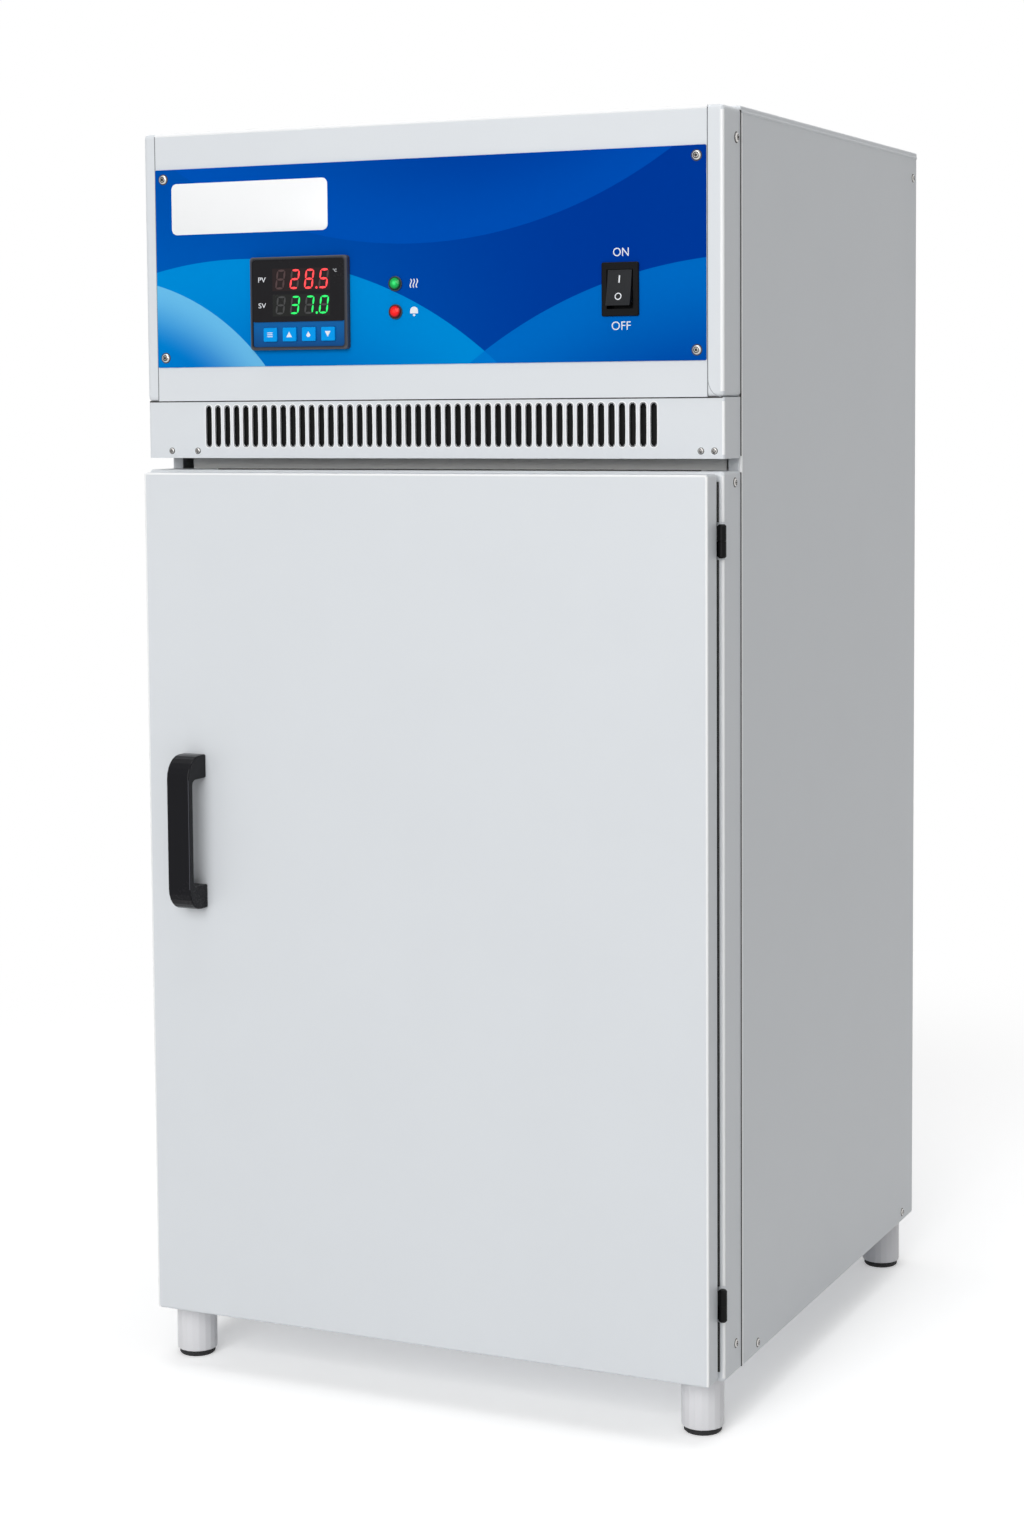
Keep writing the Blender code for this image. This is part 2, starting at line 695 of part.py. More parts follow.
def make_front_frame():
    """The sheet behind the head: a window for the controls' wiring, side returns, and two brackets."""
    low = (FRAME_LEFT_EDGE, FRAME_FRONT, JACKET_TOP + GAP)
    high = (FRAME_RIGHT_EDGE, FRAME_FRONT + FRAME_RETURN, SIDE_TOP - GAP)
    frame = add("front_frame", tray(low, high, "+Y", "-Z"), "white_paint", cabinet)
    sheet(frame)
    window_low = (low[0] + FRAME_WINDOW_MARGIN, FRAME_FRONT - SHEET, NECK_TOP + FRAME_SILL)
    window_high = (high[0] - FRAME_WINDOW_MARGIN, FRAME_FRONT + 2 * SHEET, high[2] - FRAME_WINDOW_MARGIN)
    cut(frame, boxes((window_low, window_high)))
    # Each bracket runs forward from the frame and steps up to the return of the fascia
    seat = HEAD_TOP - SHEET - GAP
    outline = [
        (FRAME_FRONT + SHEET / 2, seat - FRAME_RETURN),
        (FRAME_FRONT + SHEET / 2, SIDE_TOP - 2 * GAP),
        (FRONT_DEPTH, SIDE_TOP - 2 * GAP),
        (FRONT_DEPTH, seat),
        (FASCIA_BEND + SHEET, seat),
        (FASCIA_BEND + SHEET, seat - HEAD_BRACKET_SHEET),
        (FRAME_FRONT - HEAD_BRACKET_SHEET, seat - HEAD_BRACKET_SHEET - BODY_RISE),
        (FRAME_FRONT - HEAD_BRACKET_SHEET, seat - FRAME_RETURN),
    ]
    for side in (-1, 1):
        x = side * (FRAME_RIGHT_EDGE - FRAME_WINDOW_MARGIN)
        bracket = prism(outline, "X", x - HEAD_BRACKET_WIDTH / 2, x + HEAD_BRACKET_WIDTH / 2)
        join(frame, bracket)


def make_insulation():
    """The foam jacket and the steel liner that it holds, both open to the front."""

    def mouth(margin, radius):
        return rounded(
            -CHAMBER_HALF - margin,
            CHAMBER_HALF + margin,
            CHAMBER_FLOOR - margin,
            CHAMBER_TOP + margin,
            radius,
        )

    # The front edge of the foam is bevelled to clear the bends of the collar
    block = (-JACKET_HALF, JACKET_HALF, SHEET + GAP, JACKET_TOP)
    outside = rounded(*block, JACKET_CORNER)
    rim = rounded(*widened(block, -COLLAR_BEND), JACKET_CORNER)
    cavity = mouth(LINER + GAP, CHAMBER_CORNER + LINER + GAP)
    back = CHAMBER_BACK + LINER
    jacket = loft(
        [
            section("Y", JACKET_BACK, outside),
            section("Y", CHAMBER_FRONT + COLLAR_BEND, outside),
            section("Y", CHAMBER_FRONT, rim),
            section("Y", CHAMBER_FRONT, cavity),
            section("Y", back + GAP, cavity),
        ]
    )
    add("insulation_jacket", jacket, "foam", cabinet)
    liner_outside = mouth(LINER, CHAMBER_CORNER + LINER)
    liner_inside = mouth(0.0, CHAMBER_CORNER)
    liner = loft(
        [
            section("Y", back, liner_outside),
            section("Y", SHEET, liner_outside),
            section("Y", SHEET, liner_inside),
            section("Y", CHAMBER_BACK, liner_inside),
        ]
    )
    add("chamber_liner", liner, "stainless", cabinet, smooth=40)


def make_collar():
    """The painted surround that the door closes on: a front face with the mouth, and folded returns."""

    def ring(inset, radius):
        return rounded(-HALF + inset, HALF - inset, inset, COLLAR_HEIGHT - inset, radius)

    mouth_margin = LINER + 2 * GAP
    mouth = rounded(
        -CHAMBER_HALF - mouth_margin,
        CHAMBER_HALF + mouth_margin,
        CHAMBER_FLOOR - mouth_margin,
        CHAMBER_TOP + mouth_margin,
        CHAMBER_CORNER + mouth_margin,
    )
    bend_points = arc(COLLAR_BEND, COLLAR_BEND, COLLAR_BEND, 180, 270, steps=3)
    inner_bend = COLLAR_BEND - SHEET
    sections = [section("Y", y, ring(inset, COLLAR_BEND)) for inset, y in bend_points[::-1]]
    sections.append(section("Y", FRONT_DEPTH, ring(0.0, COLLAR_BEND)))
    sections.append(section("Y", FRONT_DEPTH, ring(SHEET, inner_bend)))
    sections.append(section("Y", COLLAR_BEND, ring(SHEET, inner_bend)))
    sections.append(section("Y", SHEET, ring(COLLAR_BEND, inner_bend)))
    sections.append(section("Y", SHEET, mouth))
    sections.append(section("Y", 0.0, mouth))
    add("door_collar", loft(sections, closed=True), "white_paint", cabinet, smooth=40)


def make_head():
    """Fascia, its two end caps, the slotted vent strip below them, and the blue control plate."""
    fascia_low = (FASCIA_LEFT + GAP / 2, 0.0, FASCIA_BOTTOM)
    fascia_high = (FASCIA_RIGHT - GAP / 2, FRONT_DEPTH, HEAD_TOP)
    fascia = tray(fascia_low, fascia_high, "+Y", "-X", "+X")
    top_front = [
        edge
        for edge in fascia.edges
        if len(edge.link_faces) == 2 and min(vert.co.z for vert in edge.verts) > HEAD_TOP - GAP
    ]
    bmesh.ops.bevel(fascia, geom=top_front, offset=FASCIA_BEND, segments=5, affect="EDGES", profile=0.5)
    panel = sheet(add("fascia_panel", fascia, "white_paint", cabinet, smooth=40))
    for name, low_x, high_x, opening in (
        ("left_end_cap", -HALF, FASCIA_LEFT - GAP / 2, "+X"),
        ("right_end_cap", FASCIA_RIGHT + GAP / 2, HALF, "-X"),
    ):
        cap = tray((low_x, 0.0, FASCIA_BOTTOM), (high_x, FRONT_DEPTH, HEAD_TOP), "+Y", opening)
        sheet(add(name, bend(cap, FASCIA_BEND, steps=4), "white_paint", cabinet, smooth=40))
    vent_top = NECK_TOP + VENT_HEIGHT
    strip = tray((-HALF, VENT_RECESS, NECK_TOP), (HALF, FRONT_DEPTH, vent_top), "+Y", "-Z", "+Z")
    vent = sheet(add("vent_strip", bend(strip, PANEL_BEND), "white_paint", cabinet, smooth=40))
    slots = bmesh.new()
    for number in range(SLOT_COUNT):
        x = (number - (SLOT_COUNT - 1) / 2) * SLOT_PITCH
        outline = slot(x, NECK_TOP + SLOT_MARGIN_LOW, vent_top - SLOT_MARGIN_HIGH, SLOT_WIDTH)
        copy_into(slots, prism(outline, "Y", VENT_RECESS - SHEET, VENT_RECESS + 2 * SHEET))
    cut(vent, slots)
    make_control_plate(panel)


def controller_body():
    """The rectangle that the controller's body needs behind the plate."""
    margin = CONTROLLER_BODY_MARGIN
    return (
        CONTROLLER_LEFT + margin,
        CONTROLLER_LEFT + CONTROLLER_WIDTH - margin,
        CONTROLLER_BOTTOM + margin,
        CONTROLLER_BOTTOM + CONTROLLER_HEIGHT - margin,
    )


def switch_body():
    """The rectangle that the switch's body needs behind the plate."""
    half_width = SWITCH_WELL_WIDTH / 2 + SWITCH_WALL
    half_height = SWITCH_WELL_HEIGHT / 2 + SWITCH_WALL
    return (SWITCH_X - half_width, SWITCH_X + half_width, SWITCH_Z - half_height, SWITCH_Z + half_height)


def widened(body, margin):
    """A rectangle grown by a margin on each side."""
    u0, u1, v0, v1 = body
    return (u0 - margin, u1 + margin, v0 - margin, v1 + margin)


def make_control_plate(panel):
    """The blue plate, with the same cut-outs in it and in the fascia behind it."""
    holes = [
        rectangle(*widened(controller_body(), GAP)),
        rectangle(*widened(switch_body(), GAP)),
    ]
    for lamp in range(2):
        holes.append(circle(LAMP_X, LAMP_Z + lamp * LAMP_PITCH, LAMP_BARREL_RADIUS + GAP, 16))
    outline = rounded(PLATE_LEFT, PLATE_RIGHT, PLATE_BOTTOM, PLATE_BOTTOM + PLATE_HEIGHT, PLATE_CORNER)
    add("control_plate", prism(outline, "Y", PLATE_FRONT, PLATE_BACK, holes), "blue_plate", cabinet)
    cutter = bmesh.new()
    for hole in holes:
        copy_into(cutter, prism(hole, "Y", -SHEET, 2 * SHEET))
    cut(panel, cutter)


def make_controller():
    """The temperature controller: a case with a recessed front, a dark window, and four keys."""
    left, bottom = CONTROLLER_LEFT, CONTROLLER_BOTTOM
    right, top = left + CONTROLLER_WIDTH, bottom + CONTROLLER_HEIGHT
    corner = CONTROLLER_CORNER

    def bezel(inset):
        return rounded(left + inset, right - inset, bottom + inset, top - inset, corner)

    body = rounded(*controller_body(), corner)
    case = loft(
        [
            section("Y", CONTROLLER_BODY_DEPTH, body),
            section("Y", SEAT, body),
            section("Y", SEAT, bezel(0.0)),
            section("Y", CONTROLLER_FRONT + CONTROLLER_CHAMFER, bezel(0.0)),
            section("Y", CONTROLLER_FRONT, bezel(CONTROLLER_CHAMFER)),
            section("Y", CONTROLLER_FRONT, bezel(CONTROLLER_RIM)),
            section("Y", CONTROLLER_FLOOR, bezel(CONTROLLER_RIM)),
        ]
    )
    case_part = add("controller_case", case, "grey_plastic", cabinet, smooth=30)
    inset = CONTROLLER_RIM + GAP
    split = bottom + CONTROLLER_RIM + KEY_STRIP_HEIGHT
    window = prism(
        rounded(left + inset, right - inset, split, top - inset, corner - GAP),
        "Y",
        CONTROLLER_FLOOR - GAP - WINDOW_THICKNESS,
        CONTROLLER_FLOOR - GAP,
    )
    add("controller_window", window, "dark_window", cabinet)
    pockets = bmesh.new()
    pocket_back = CONTROLLER_FLOOR + KEY_STEM + KEY_TRAVEL + GAP
    for number, name in enumerate(("set_key", "up_key", "shift_key", "down_key")):
        x = left + CONTROLLER_WIDTH / 2 + KEY_OFFSET + (number - 1.5) * KEY_PITCH
        z = bottom + KEY_UP
        key_outline = (x - KEY_WIDTH / 2, x + KEY_WIDTH / 2, z - KEY_HEIGHT / 2, z + KEY_HEIGHT / 2)
        pocket = rounded(*widened(key_outline, GAP), KEY_CORNER + GAP, steps=2)
        copy_into(pockets, prism(pocket, "Y", CONTROLLER_FLOOR - KEY_STEM, pocket_back))
        front = CONTROLLER_FRONT - GAP
        face = rounded(*widened(key_outline, -2 * GAP), KEY_CORNER, steps=2)
        side = rounded(*key_outline, KEY_CORNER, steps=2)
        key = loft(
            [
                section("Y", CONTROLLER_FLOOR + KEY_STEM, side),
                section("Y", front + 2 * GAP, side),
                section("Y", front, face),
            ]
        )
        holder = empty(f"{name}_travel", (x, CONTROLLER_FLOOR, z), cabinet)
        add(name, key, "key_blue", holder)
    cut(case_part, pockets)


def make_lamps():
    """Two indicator lamps: a bezel with its barrel through the plate, and a domed lens in its seat."""
    for name, finish, level in (("alarm_lamp", "red_lens", 0), ("heater_lamp", "green_lens", 1)):
        centre = (LAMP_X, LAMP_Z + level * LAMP_PITCH)
        rim_front = SEAT - LAMP_RIM
        seat = rim_front + LAMP_RIM / 2
        bezel = [
            (0.0, SEAT + LAMP_BARREL_LENGTH),
            (LAMP_BARREL_RADIUS, SEAT + LAMP_BARREL_LENGTH),
            (LAMP_BARREL_RADIUS, SEAT),
            (LAMP_RADIUS, SEAT),
            (LAMP_RADIUS, rim_front + GAP),
            (LAMP_RADIUS - GAP, rim_front),
            (LAMP_LENS_RADIUS + GAP, rim_front),
            (LAMP_LENS_RADIUS + GAP, seat),
            (0.0, seat),
        ]
        add(f"{name}_bezel", turned(bezel, "Y", centre, 18), "black_plastic", cabinet, smooth=30)
        dome_start = rim_front
        dome_rise = PLATE_FRONT - LAMP_PROUD - dome_start
        lens = [(0.0, seat - GAP), (LAMP_LENS_RADIUS, seat - GAP)]
        for share_out, share_up in arc(0.0, 0.0, 1.0, 0, 90)[:-1]:
            lens.append((LAMP_LENS_RADIUS * share_out, dome_start + dome_rise * share_up))
        lens.append((0.0, dome_start + dome_rise))
        add(f"{name}_lens", turned(lens, "Y", centre, 16), finish, cabinet, smooth=60)


def make_switch():
    """The power switch: a housing with its well, and a rocker on a cross pin, tilted to on."""
    half_width, half_height = SWITCH_WIDTH / 2, SWITCH_HEIGHT / 2
    corner = SWITCH_WALL
    flange_front = PLATE_FRONT - SWITCH_PROUD
    chamfer = SWITCH_CHAMFER
    flange = (SWITCH_X - half_width, SWITCH_X + half_width, SWITCH_Z - half_height, SWITCH_Z + half_height)
    well = widened(switch_body(), -SWITCH_WALL)
    well_back = ROCKER_FACE + ROCKER_HUB
    housing = loft(
        [
            section("Y", SWITCH_BODY_DEPTH, rounded(*switch_body(), corner)),
            section("Y", SEAT, rounded(*switch_body(), corner)),
            section("Y", SEAT, rounded(*flange, corner)),
            section("Y", flange_front + chamfer, rounded(*flange, corner)),
            section("Y", flange_front, rounded(*widened(flange, -chamfer), corner)),
            section("Y", flange_front, rounded(*well, corner / 2)),
            section("Y", well_back, rounded(*well, corner / 2)),
        ]
    )
    add("switch_housing", housing, "black_plastic", cabinet, smooth=30)
    pivot = empty("switch_pivot", (SWITCH_X, 0.0, SWITCH_Z), cabinet)
    half_length = ROCKER_LENGTH / 2
    face = []
    for step in range(-4, 5):
        place = step / 4
        face.append((-ROCKER_FACE + ROCKER_DISH * (1 - place * place), place * half_length))
    outline = face + [(ROCKER_HUB, ROCKER_FOOT), (ROCKER_HUB, -ROCKER_FOOT)]
    rocker = prism(outline, "X", -ROCKER_WIDTH / 2, ROCKER_WIDTH / 2)
    # The pin reaches the well's two walls
    pin_half = SWITCH_WELL_WIDTH / 2 - GAP
    profile = [(0.0, -pin_half), (ROCKER_PIN, -pin_half), (ROCKER_PIN, pin_half), (0.0, pin_half)]
    pin = turned(profile, "X", (0.0, 0.0), 12)
    turn = Matrix.Rotation(-ROCKER_TILT, 4, "X")
    for piece in (rocker, pin):
        bmesh.ops.transform(piece, matrix=Matrix.Translation(pivot.location) @ turn, verts=piece.verts)
    join(add("switch_rocker", rocker, "black_plastic", pivot, smooth=30), pin)


def rack_level(level):
    """The height of a rack's ledge, counted from 0 at the bottom."""
    return CHAMBER_FLOOR + RACK_FIRST + level * RACK_PITCH


def make_racks_and_shelves():
    """Two side racks, each a ladder of ledges between posts, and the shelves that rest on them."""
    y0, y1 = RACK_FRONT, RACK_FRONT + RACK_LENGTH
    z0, z1 = CHAMBER_FLOOR + RACK_MARGIN, CHAMBER_TOP - RACK_MARGIN
    for name, side in (("left_shelf_rack", -1), ("right_shelf_rack", 1)):
        wall = side * (CHAMBER_HALF - GAP)
        face = wall - side * RACK_SHEET
        tip = face - side * RACK_LEDGE
        holes = []
        edges = [z0 + RACK_RAIL] + [rack_level(level) for level in range(RACK_LEVELS)] + [z1]
        for low_z, high_z in zip(edges, edges[1:]):
            holes.append(rectangle(y0 + RACK_POST, y1 - RACK_POST, low_z, high_z - RACK_RAIL))
        ladder = prism(rectangle(y0, y1, z0, z1), "X", min(wall, face), max(wall, face), holes)
        rack = add(name, ladder, "stainless", cabinet)
        ledges = []
        for level in range(RACK_LEVELS):
            top = rack_level(level)
            low = (min(wall - side * RACK_SHEET / 2, tip), y0 + RACK_SHEET, top - RACK_SHEET)
            high = (max(wall - side * RACK_SHEET / 2, tip), y1 - RACK_SHEET, top)
            ledges.append((low, high))
        join(rack, boxes(*ledges))
    half = CHAMBER_HALF - GAP - RACK_SHEET - SHELF_SIDE_CLEARANCE
    for name, level in SHELF_LEVELS.items():
        bottom = rack_level(level) + GAP
        inner_x = 2 * (half - SHELF_BORDER)
        bay = (inner_x - (SHELF_BAYS - 1) * SHELF_WIRE) / SHELF_BAYS
        middle_y = (y0 + y1) / 2
        holes = []
        for number in range(SHELF_BAYS):
            x = -half + SHELF_BORDER + number * (bay + SHELF_WIRE)
            holes.append(rectangle(x, x + bay, y0 + SHELF_BORDER, middle_y - SHELF_WIRE))
            holes.append(rectangle(x, x + bay, middle_y + SHELF_WIRE, y1 - SHELF_BORDER))
        grid = prism(rectangle(-half, half, y0, y1), "Z", bottom, bottom + SHELF_THICKNESS, holes)
        add(name, grid, "stainless", cabinet)


def make_air_system():
    """The false back, open above the floor for the returning air, and what it covers or carries."""
    low = (-CHAMBER_HALF + DUCT_MARGIN, DUCT_FRONT, CHAMBER_FLOOR + DUCT_RETURN)
    high = (CHAMBER_HALF - DUCT_MARGIN, CHAMBER_BACK - GAP, CHAMBER_TOP - DUCT_MARGIN)
    duct = sheet(add("air_duct_cover", tray(low, high, "+Y", "-Z"), "stainless", cabinet))
    cutter_span = (DUCT_FRONT - SHEET, DUCT_FRONT + 2 * SHEET)
    fan_z = CHAMBER_FLOOR + CHAMBER_FAN_UP
    openings = bmesh.new()
    for spoke in range(GRILLE_SPOKES):
        turn = 2 * math.pi * spoke / GRILLE_SPOKES
        outline = slot(
            0.0,
            fan_z + GRILLE_INNER,
            fan_z + CHAMBER_FAN_RADIUS,
            GRILLE_SLOT_WIDTH,
            turn,
            (0.0, fan_z),
            steps=2,
        )
        copy_into(openings, prism(outline, "Y", *cutter_span))
    slot_top = high[2] - DUCT_SLOT_MARGIN
    for number in range(DUCT_SLOTS):
        x = (number - (DUCT_SLOTS - 1) / 2) * DUCT_SLOT_PITCH
        outline = slot(x, slot_top - DUCT_SLOT_LENGTH, slot_top, DUCT_SLOT_WIDTH, steps=2)
        copy_into(openings, prism(outline, "Y", *cutter_span))
    probe_z = CHAMBER_FLOOR + PROBE_UP
    hole = circle(PROBE_X, probe_z, PROBE_RADIUS + GAP, 12)
    copy_into(openings, prism(hole, "Y", *cutter_span))
    cut(duct, openings)

    wall = CHAMBER_BACK - GAP
    coil_bottom = CHAMBER_FLOOR + EVAPORATOR_UP
    coil = serpentine(
        wall - EVAPORATOR_TUBE, coil_bottom, EVAPORATOR_PASSES, EVAPORATOR_PITCH, EVAPORATOR_WIDTH
    )
    tube("evaporator_coil", coil, EVAPORATOR_TUBE, "copper", cabinet)
    heater = serpentine(wall - HEATER_TUBE, CHAMBER_FLOOR + HEATER_UP, 2, HEATER_PITCH, HEATER_WIDTH)
    tube("heater_element", heater, HEATER_TUBE, "black_steel", cabinet)

    fan_front = DUCT_FRONT + SHEET + FAN_TIP_CLEARANCE
    motor_front = fan_front + FAN_HUB_LENGTH + FAN_TIP_CLEARANCE / 2
    shaft_tip = fan_front + FAN_HUB_LENGTH - FAN_BORE_DEPTH + GAP
    motor = [
        (0.0, wall),
        (CHAMBER_MOTOR_RADIUS, wall),
        (CHAMBER_MOTOR_RADIUS, motor_front + FAN_TIP_CLEARANCE / 2),
        (CHAMBER_MOTOR_NOSE, motor_front),
        (FAN_SHAFT_RADIUS, motor_front),
        (FAN_SHAFT_RADIUS, shaft_tip),
        (0.0, shaft_tip),
    ]
    add("chamber_fan_motor", turned(motor, "Y", (0.0, fan_z), 20), "black_steel", cabinet, smooth=40)
    spin = empty("chamber_fan_shaft", (0.0, fan_front, fan_z), cabinet)
    fan("chamber_fan", 0.0, fan_z, fan_front, CHAMBER_FAN_RADIUS, "aluminium", spin)

    nut = PROBE_NUT
    tip = DUCT_FRONT - PROBE_LENGTH
    probe = [
        (0.0, DUCT_FRONT + SHEET + nut),
        (PROBE_RADIUS, DUCT_FRONT + SHEET + nut),
        (PROBE_RADIUS, DUCT_FRONT - GAP),
        (nut, DUCT_FRONT - GAP),
        (nut, DUCT_FRONT - GAP - nut / 2),
        (PROBE_RADIUS, DUCT_FRONT - GAP - nut / 2),
        (PROBE_RADIUS, tip + PROBE_RADIUS / 2),
        (PROBE_RADIUS / 2, tip),
        (0.0, tip),
    ]
    add("temperature_probe", turned(probe, "Y", (PROBE_X, probe_z), 12), "stainless", cabinet, smooth=40)


def make_machine_compartment():
    """The compressor on its foot plate, the finned condenser, and its fan in a shroud with a motor."""
    floor = DECK_TOP + GAP
    reach = COMPRESSOR_RADIUS + COMPRESSOR_FOOT_MARGIN
    low = (COMPRESSOR_X - reach, COMPRESSOR_Y - reach, floor)
    high = (COMPRESSOR_X + reach, COMPRESSOR_Y + reach, floor + COMPRESSOR_FOOT)
    shares = ((0.0, COMPRESSOR_LOWER[0][1]), *COMPRESSOR_LOWER, *COMPRESSOR_UPPER, (0.0, 1.0))
    pot = [(COMPRESSOR_RADIUS * out, floor + COMPRESSOR_HEIGHT * up) for out, up in shares]
    body = turned(pot, "Z", (COMPRESSOR_X, COMPRESSOR_Y), 20)
    compressor = add("compressor", body, "black_steel", cabinet, smooth=40)
    foot = rounded(low[0], high[0], low[1], high[1], COMPRESSOR_FOOT_MARGIN, steps=3)
    join(compressor, prism(foot, "Z", low[2], high[2]))

    x0, x1 = CONDENSER_X - CONDENSER_WIDTH / 2, CONDENSER_X + CONDENSER_WIDTH / 2
    middle = (CONDENSER_FRONT + CONDENSER_BACK) / 2
    pitch = CONDENSER_WIDTH / CONDENSER_FINS
    back_edge, front_edge = [], []
    for number in range(CONDENSER_FINS):
        start = x0 + number * pitch
        end = start + pitch * CONDENSER_FIN_SHARE
        last = number == CONDENSER_FINS - 1
        back_edge += [(start, CONDENSER_BACK), (end, CONDENSER_BACK)]
        front_edge += [(start, CONDENSER_FRONT), (end, CONDENSER_FRONT)]
        if not last:
            back_edge += [(end, middle + CONDENSER_CORE / 2), (start + pitch, middle + CONDENSER_CORE / 2)]
            front_edge += [(end, middle - CONDENSER_CORE / 2), (start + pitch, middle - CONDENSER_CORE / 2)]
    comb = prism(back_edge + front_edge[::-1], "Z", floor, floor + CONDENSER_HEIGHT)
    add("condenser", comb, "aluminium", cabinet)

    shroud_back = CONDENSER_FRONT - GAP
    shroud_front = shroud_back - SHROUD_DEPTH
    ring = CONDENSER_FAN_RADIUS + FAN_TIP_CLEARANCE
    fan_x, fan_z = CONDENSER_X, CONDENSER_Z
    outline = rounded(x0, x1, floor, floor + CONDENSER_HEIGHT, FAN_TIP_CLEARANCE)
    plate = prism(outline, "Y", shroud_front, shroud_back, [circle(fan_x, fan_z, ring, 32)])
    shroud = add("condenser_fan_shroud", plate, "black_plastic", cabinet, smooth=30)
    fan_front = shroud_back - FAN_TIP_CLEARANCE - FAN_HUB_LENGTH
    motor_back = fan_front - FAN_TIP_CLEARANCE / 2
    shaft_tip = fan_front + FAN_BORE_DEPTH - GAP
    # The motor hangs in three arms that lie on the shroud's front
    motor = [
        (0.0, motor_back - CONDENSER_MOTOR_LENGTH),
        (CONDENSER_MOTOR_RADIUS, motor_back - CONDENSER_MOTOR_LENGTH),
        (CONDENSER_MOTOR_RADIUS, motor_back),
        (FAN_SHAFT_RADIUS, motor_back),
        (FAN_SHAFT_RADIUS, shaft_tip),
        (0.0, shaft_tip),
    ]
    join(shroud, turned(motor, "Y", (fan_x, fan_z), 20))
    arms = bmesh.new()
    arm_low = (-SHROUD_ARM / 2, shroud_front - SHROUD_ARM / 2, CONDENSER_MOTOR_RADIUS - SHROUD_ARM / 2)
    arm_high = (SHROUD_ARM / 2, shroud_front + SHEET, ring + SHROUD_ARM)
    for arm in range(3):
        bar = boxes((arm_low, arm_high))
        turn = Matrix.Rotation(2 * math.pi * arm / 3, 4, "Y")
        place = Matrix.Translation((fan_x, 0.0, fan_z)) @ turn
        bmesh.ops.transform(bar, matrix=place, verts=bar.verts)
        copy_into(arms, bar)
    join(shroud, arms)
    spin = empty("condenser_fan_shaft", (fan_x, fan_front, fan_z), cabinet)
    turned_round = fan("condenser_fan", fan_x, fan_z, fan_front, CONDENSER_FAN_RADIUS, "aluminium", spin)
    # The motor sits in front of this fan, so its bore faces forward
    centre = Matrix.Translation((fan_x, fan_front + FAN_HUB_LENGTH / 2, fan_z))
    flip = centre @ Matrix.Rotation(math.pi, 4, "Z") @ centre.inverted()
    turned_round.data.transform(flip)
    turned_round.modifiers[0].object.data.transform(flip)


def make_inlet():
    """The mains inlet in the back panel: a flange, a body through the cut-out, and its socket."""
    z = DECK_TOP + INLET_UP

    def rect(half_width, half_height, radius):
        block = (INLET_X - half_width, INLET_X + half_width, z - half_height, z + half_height)
        return rounded(*block, radius, steps=2)

    socket_half, socket_rise = INLET_SOCKET_WIDTH / 2, INLET_SOCKET_HEIGHT / 2
    back = CABINET_DEPTH + INLET_PROUD
    flange = rect(INLET_WIDTH / 2, INLET_HEIGHT / 2, INLET_WALL)
    body = rect(socket_half + INLET_WALL, socket_rise + INLET_WALL, INLET_WALL / 2)
    socket = rect(socket_half, socket_rise, INLET_WALL)
    floor = back - INLET_DEPTH + INLET_WALL
    inlet = loft(
        [
            section("Y", back - INLET_DEPTH, body),
            section("Y", CABINET_DEPTH + GAP, body),
            section("Y", CABINET_DEPTH + GAP, flange),
            section("Y", back, flange),
            section("Y", back, socket),
            section("Y", floor, socket),
        ]
    )
    add("mains_inlet", inlet, "black_plastic", cabinet, smooth=30)


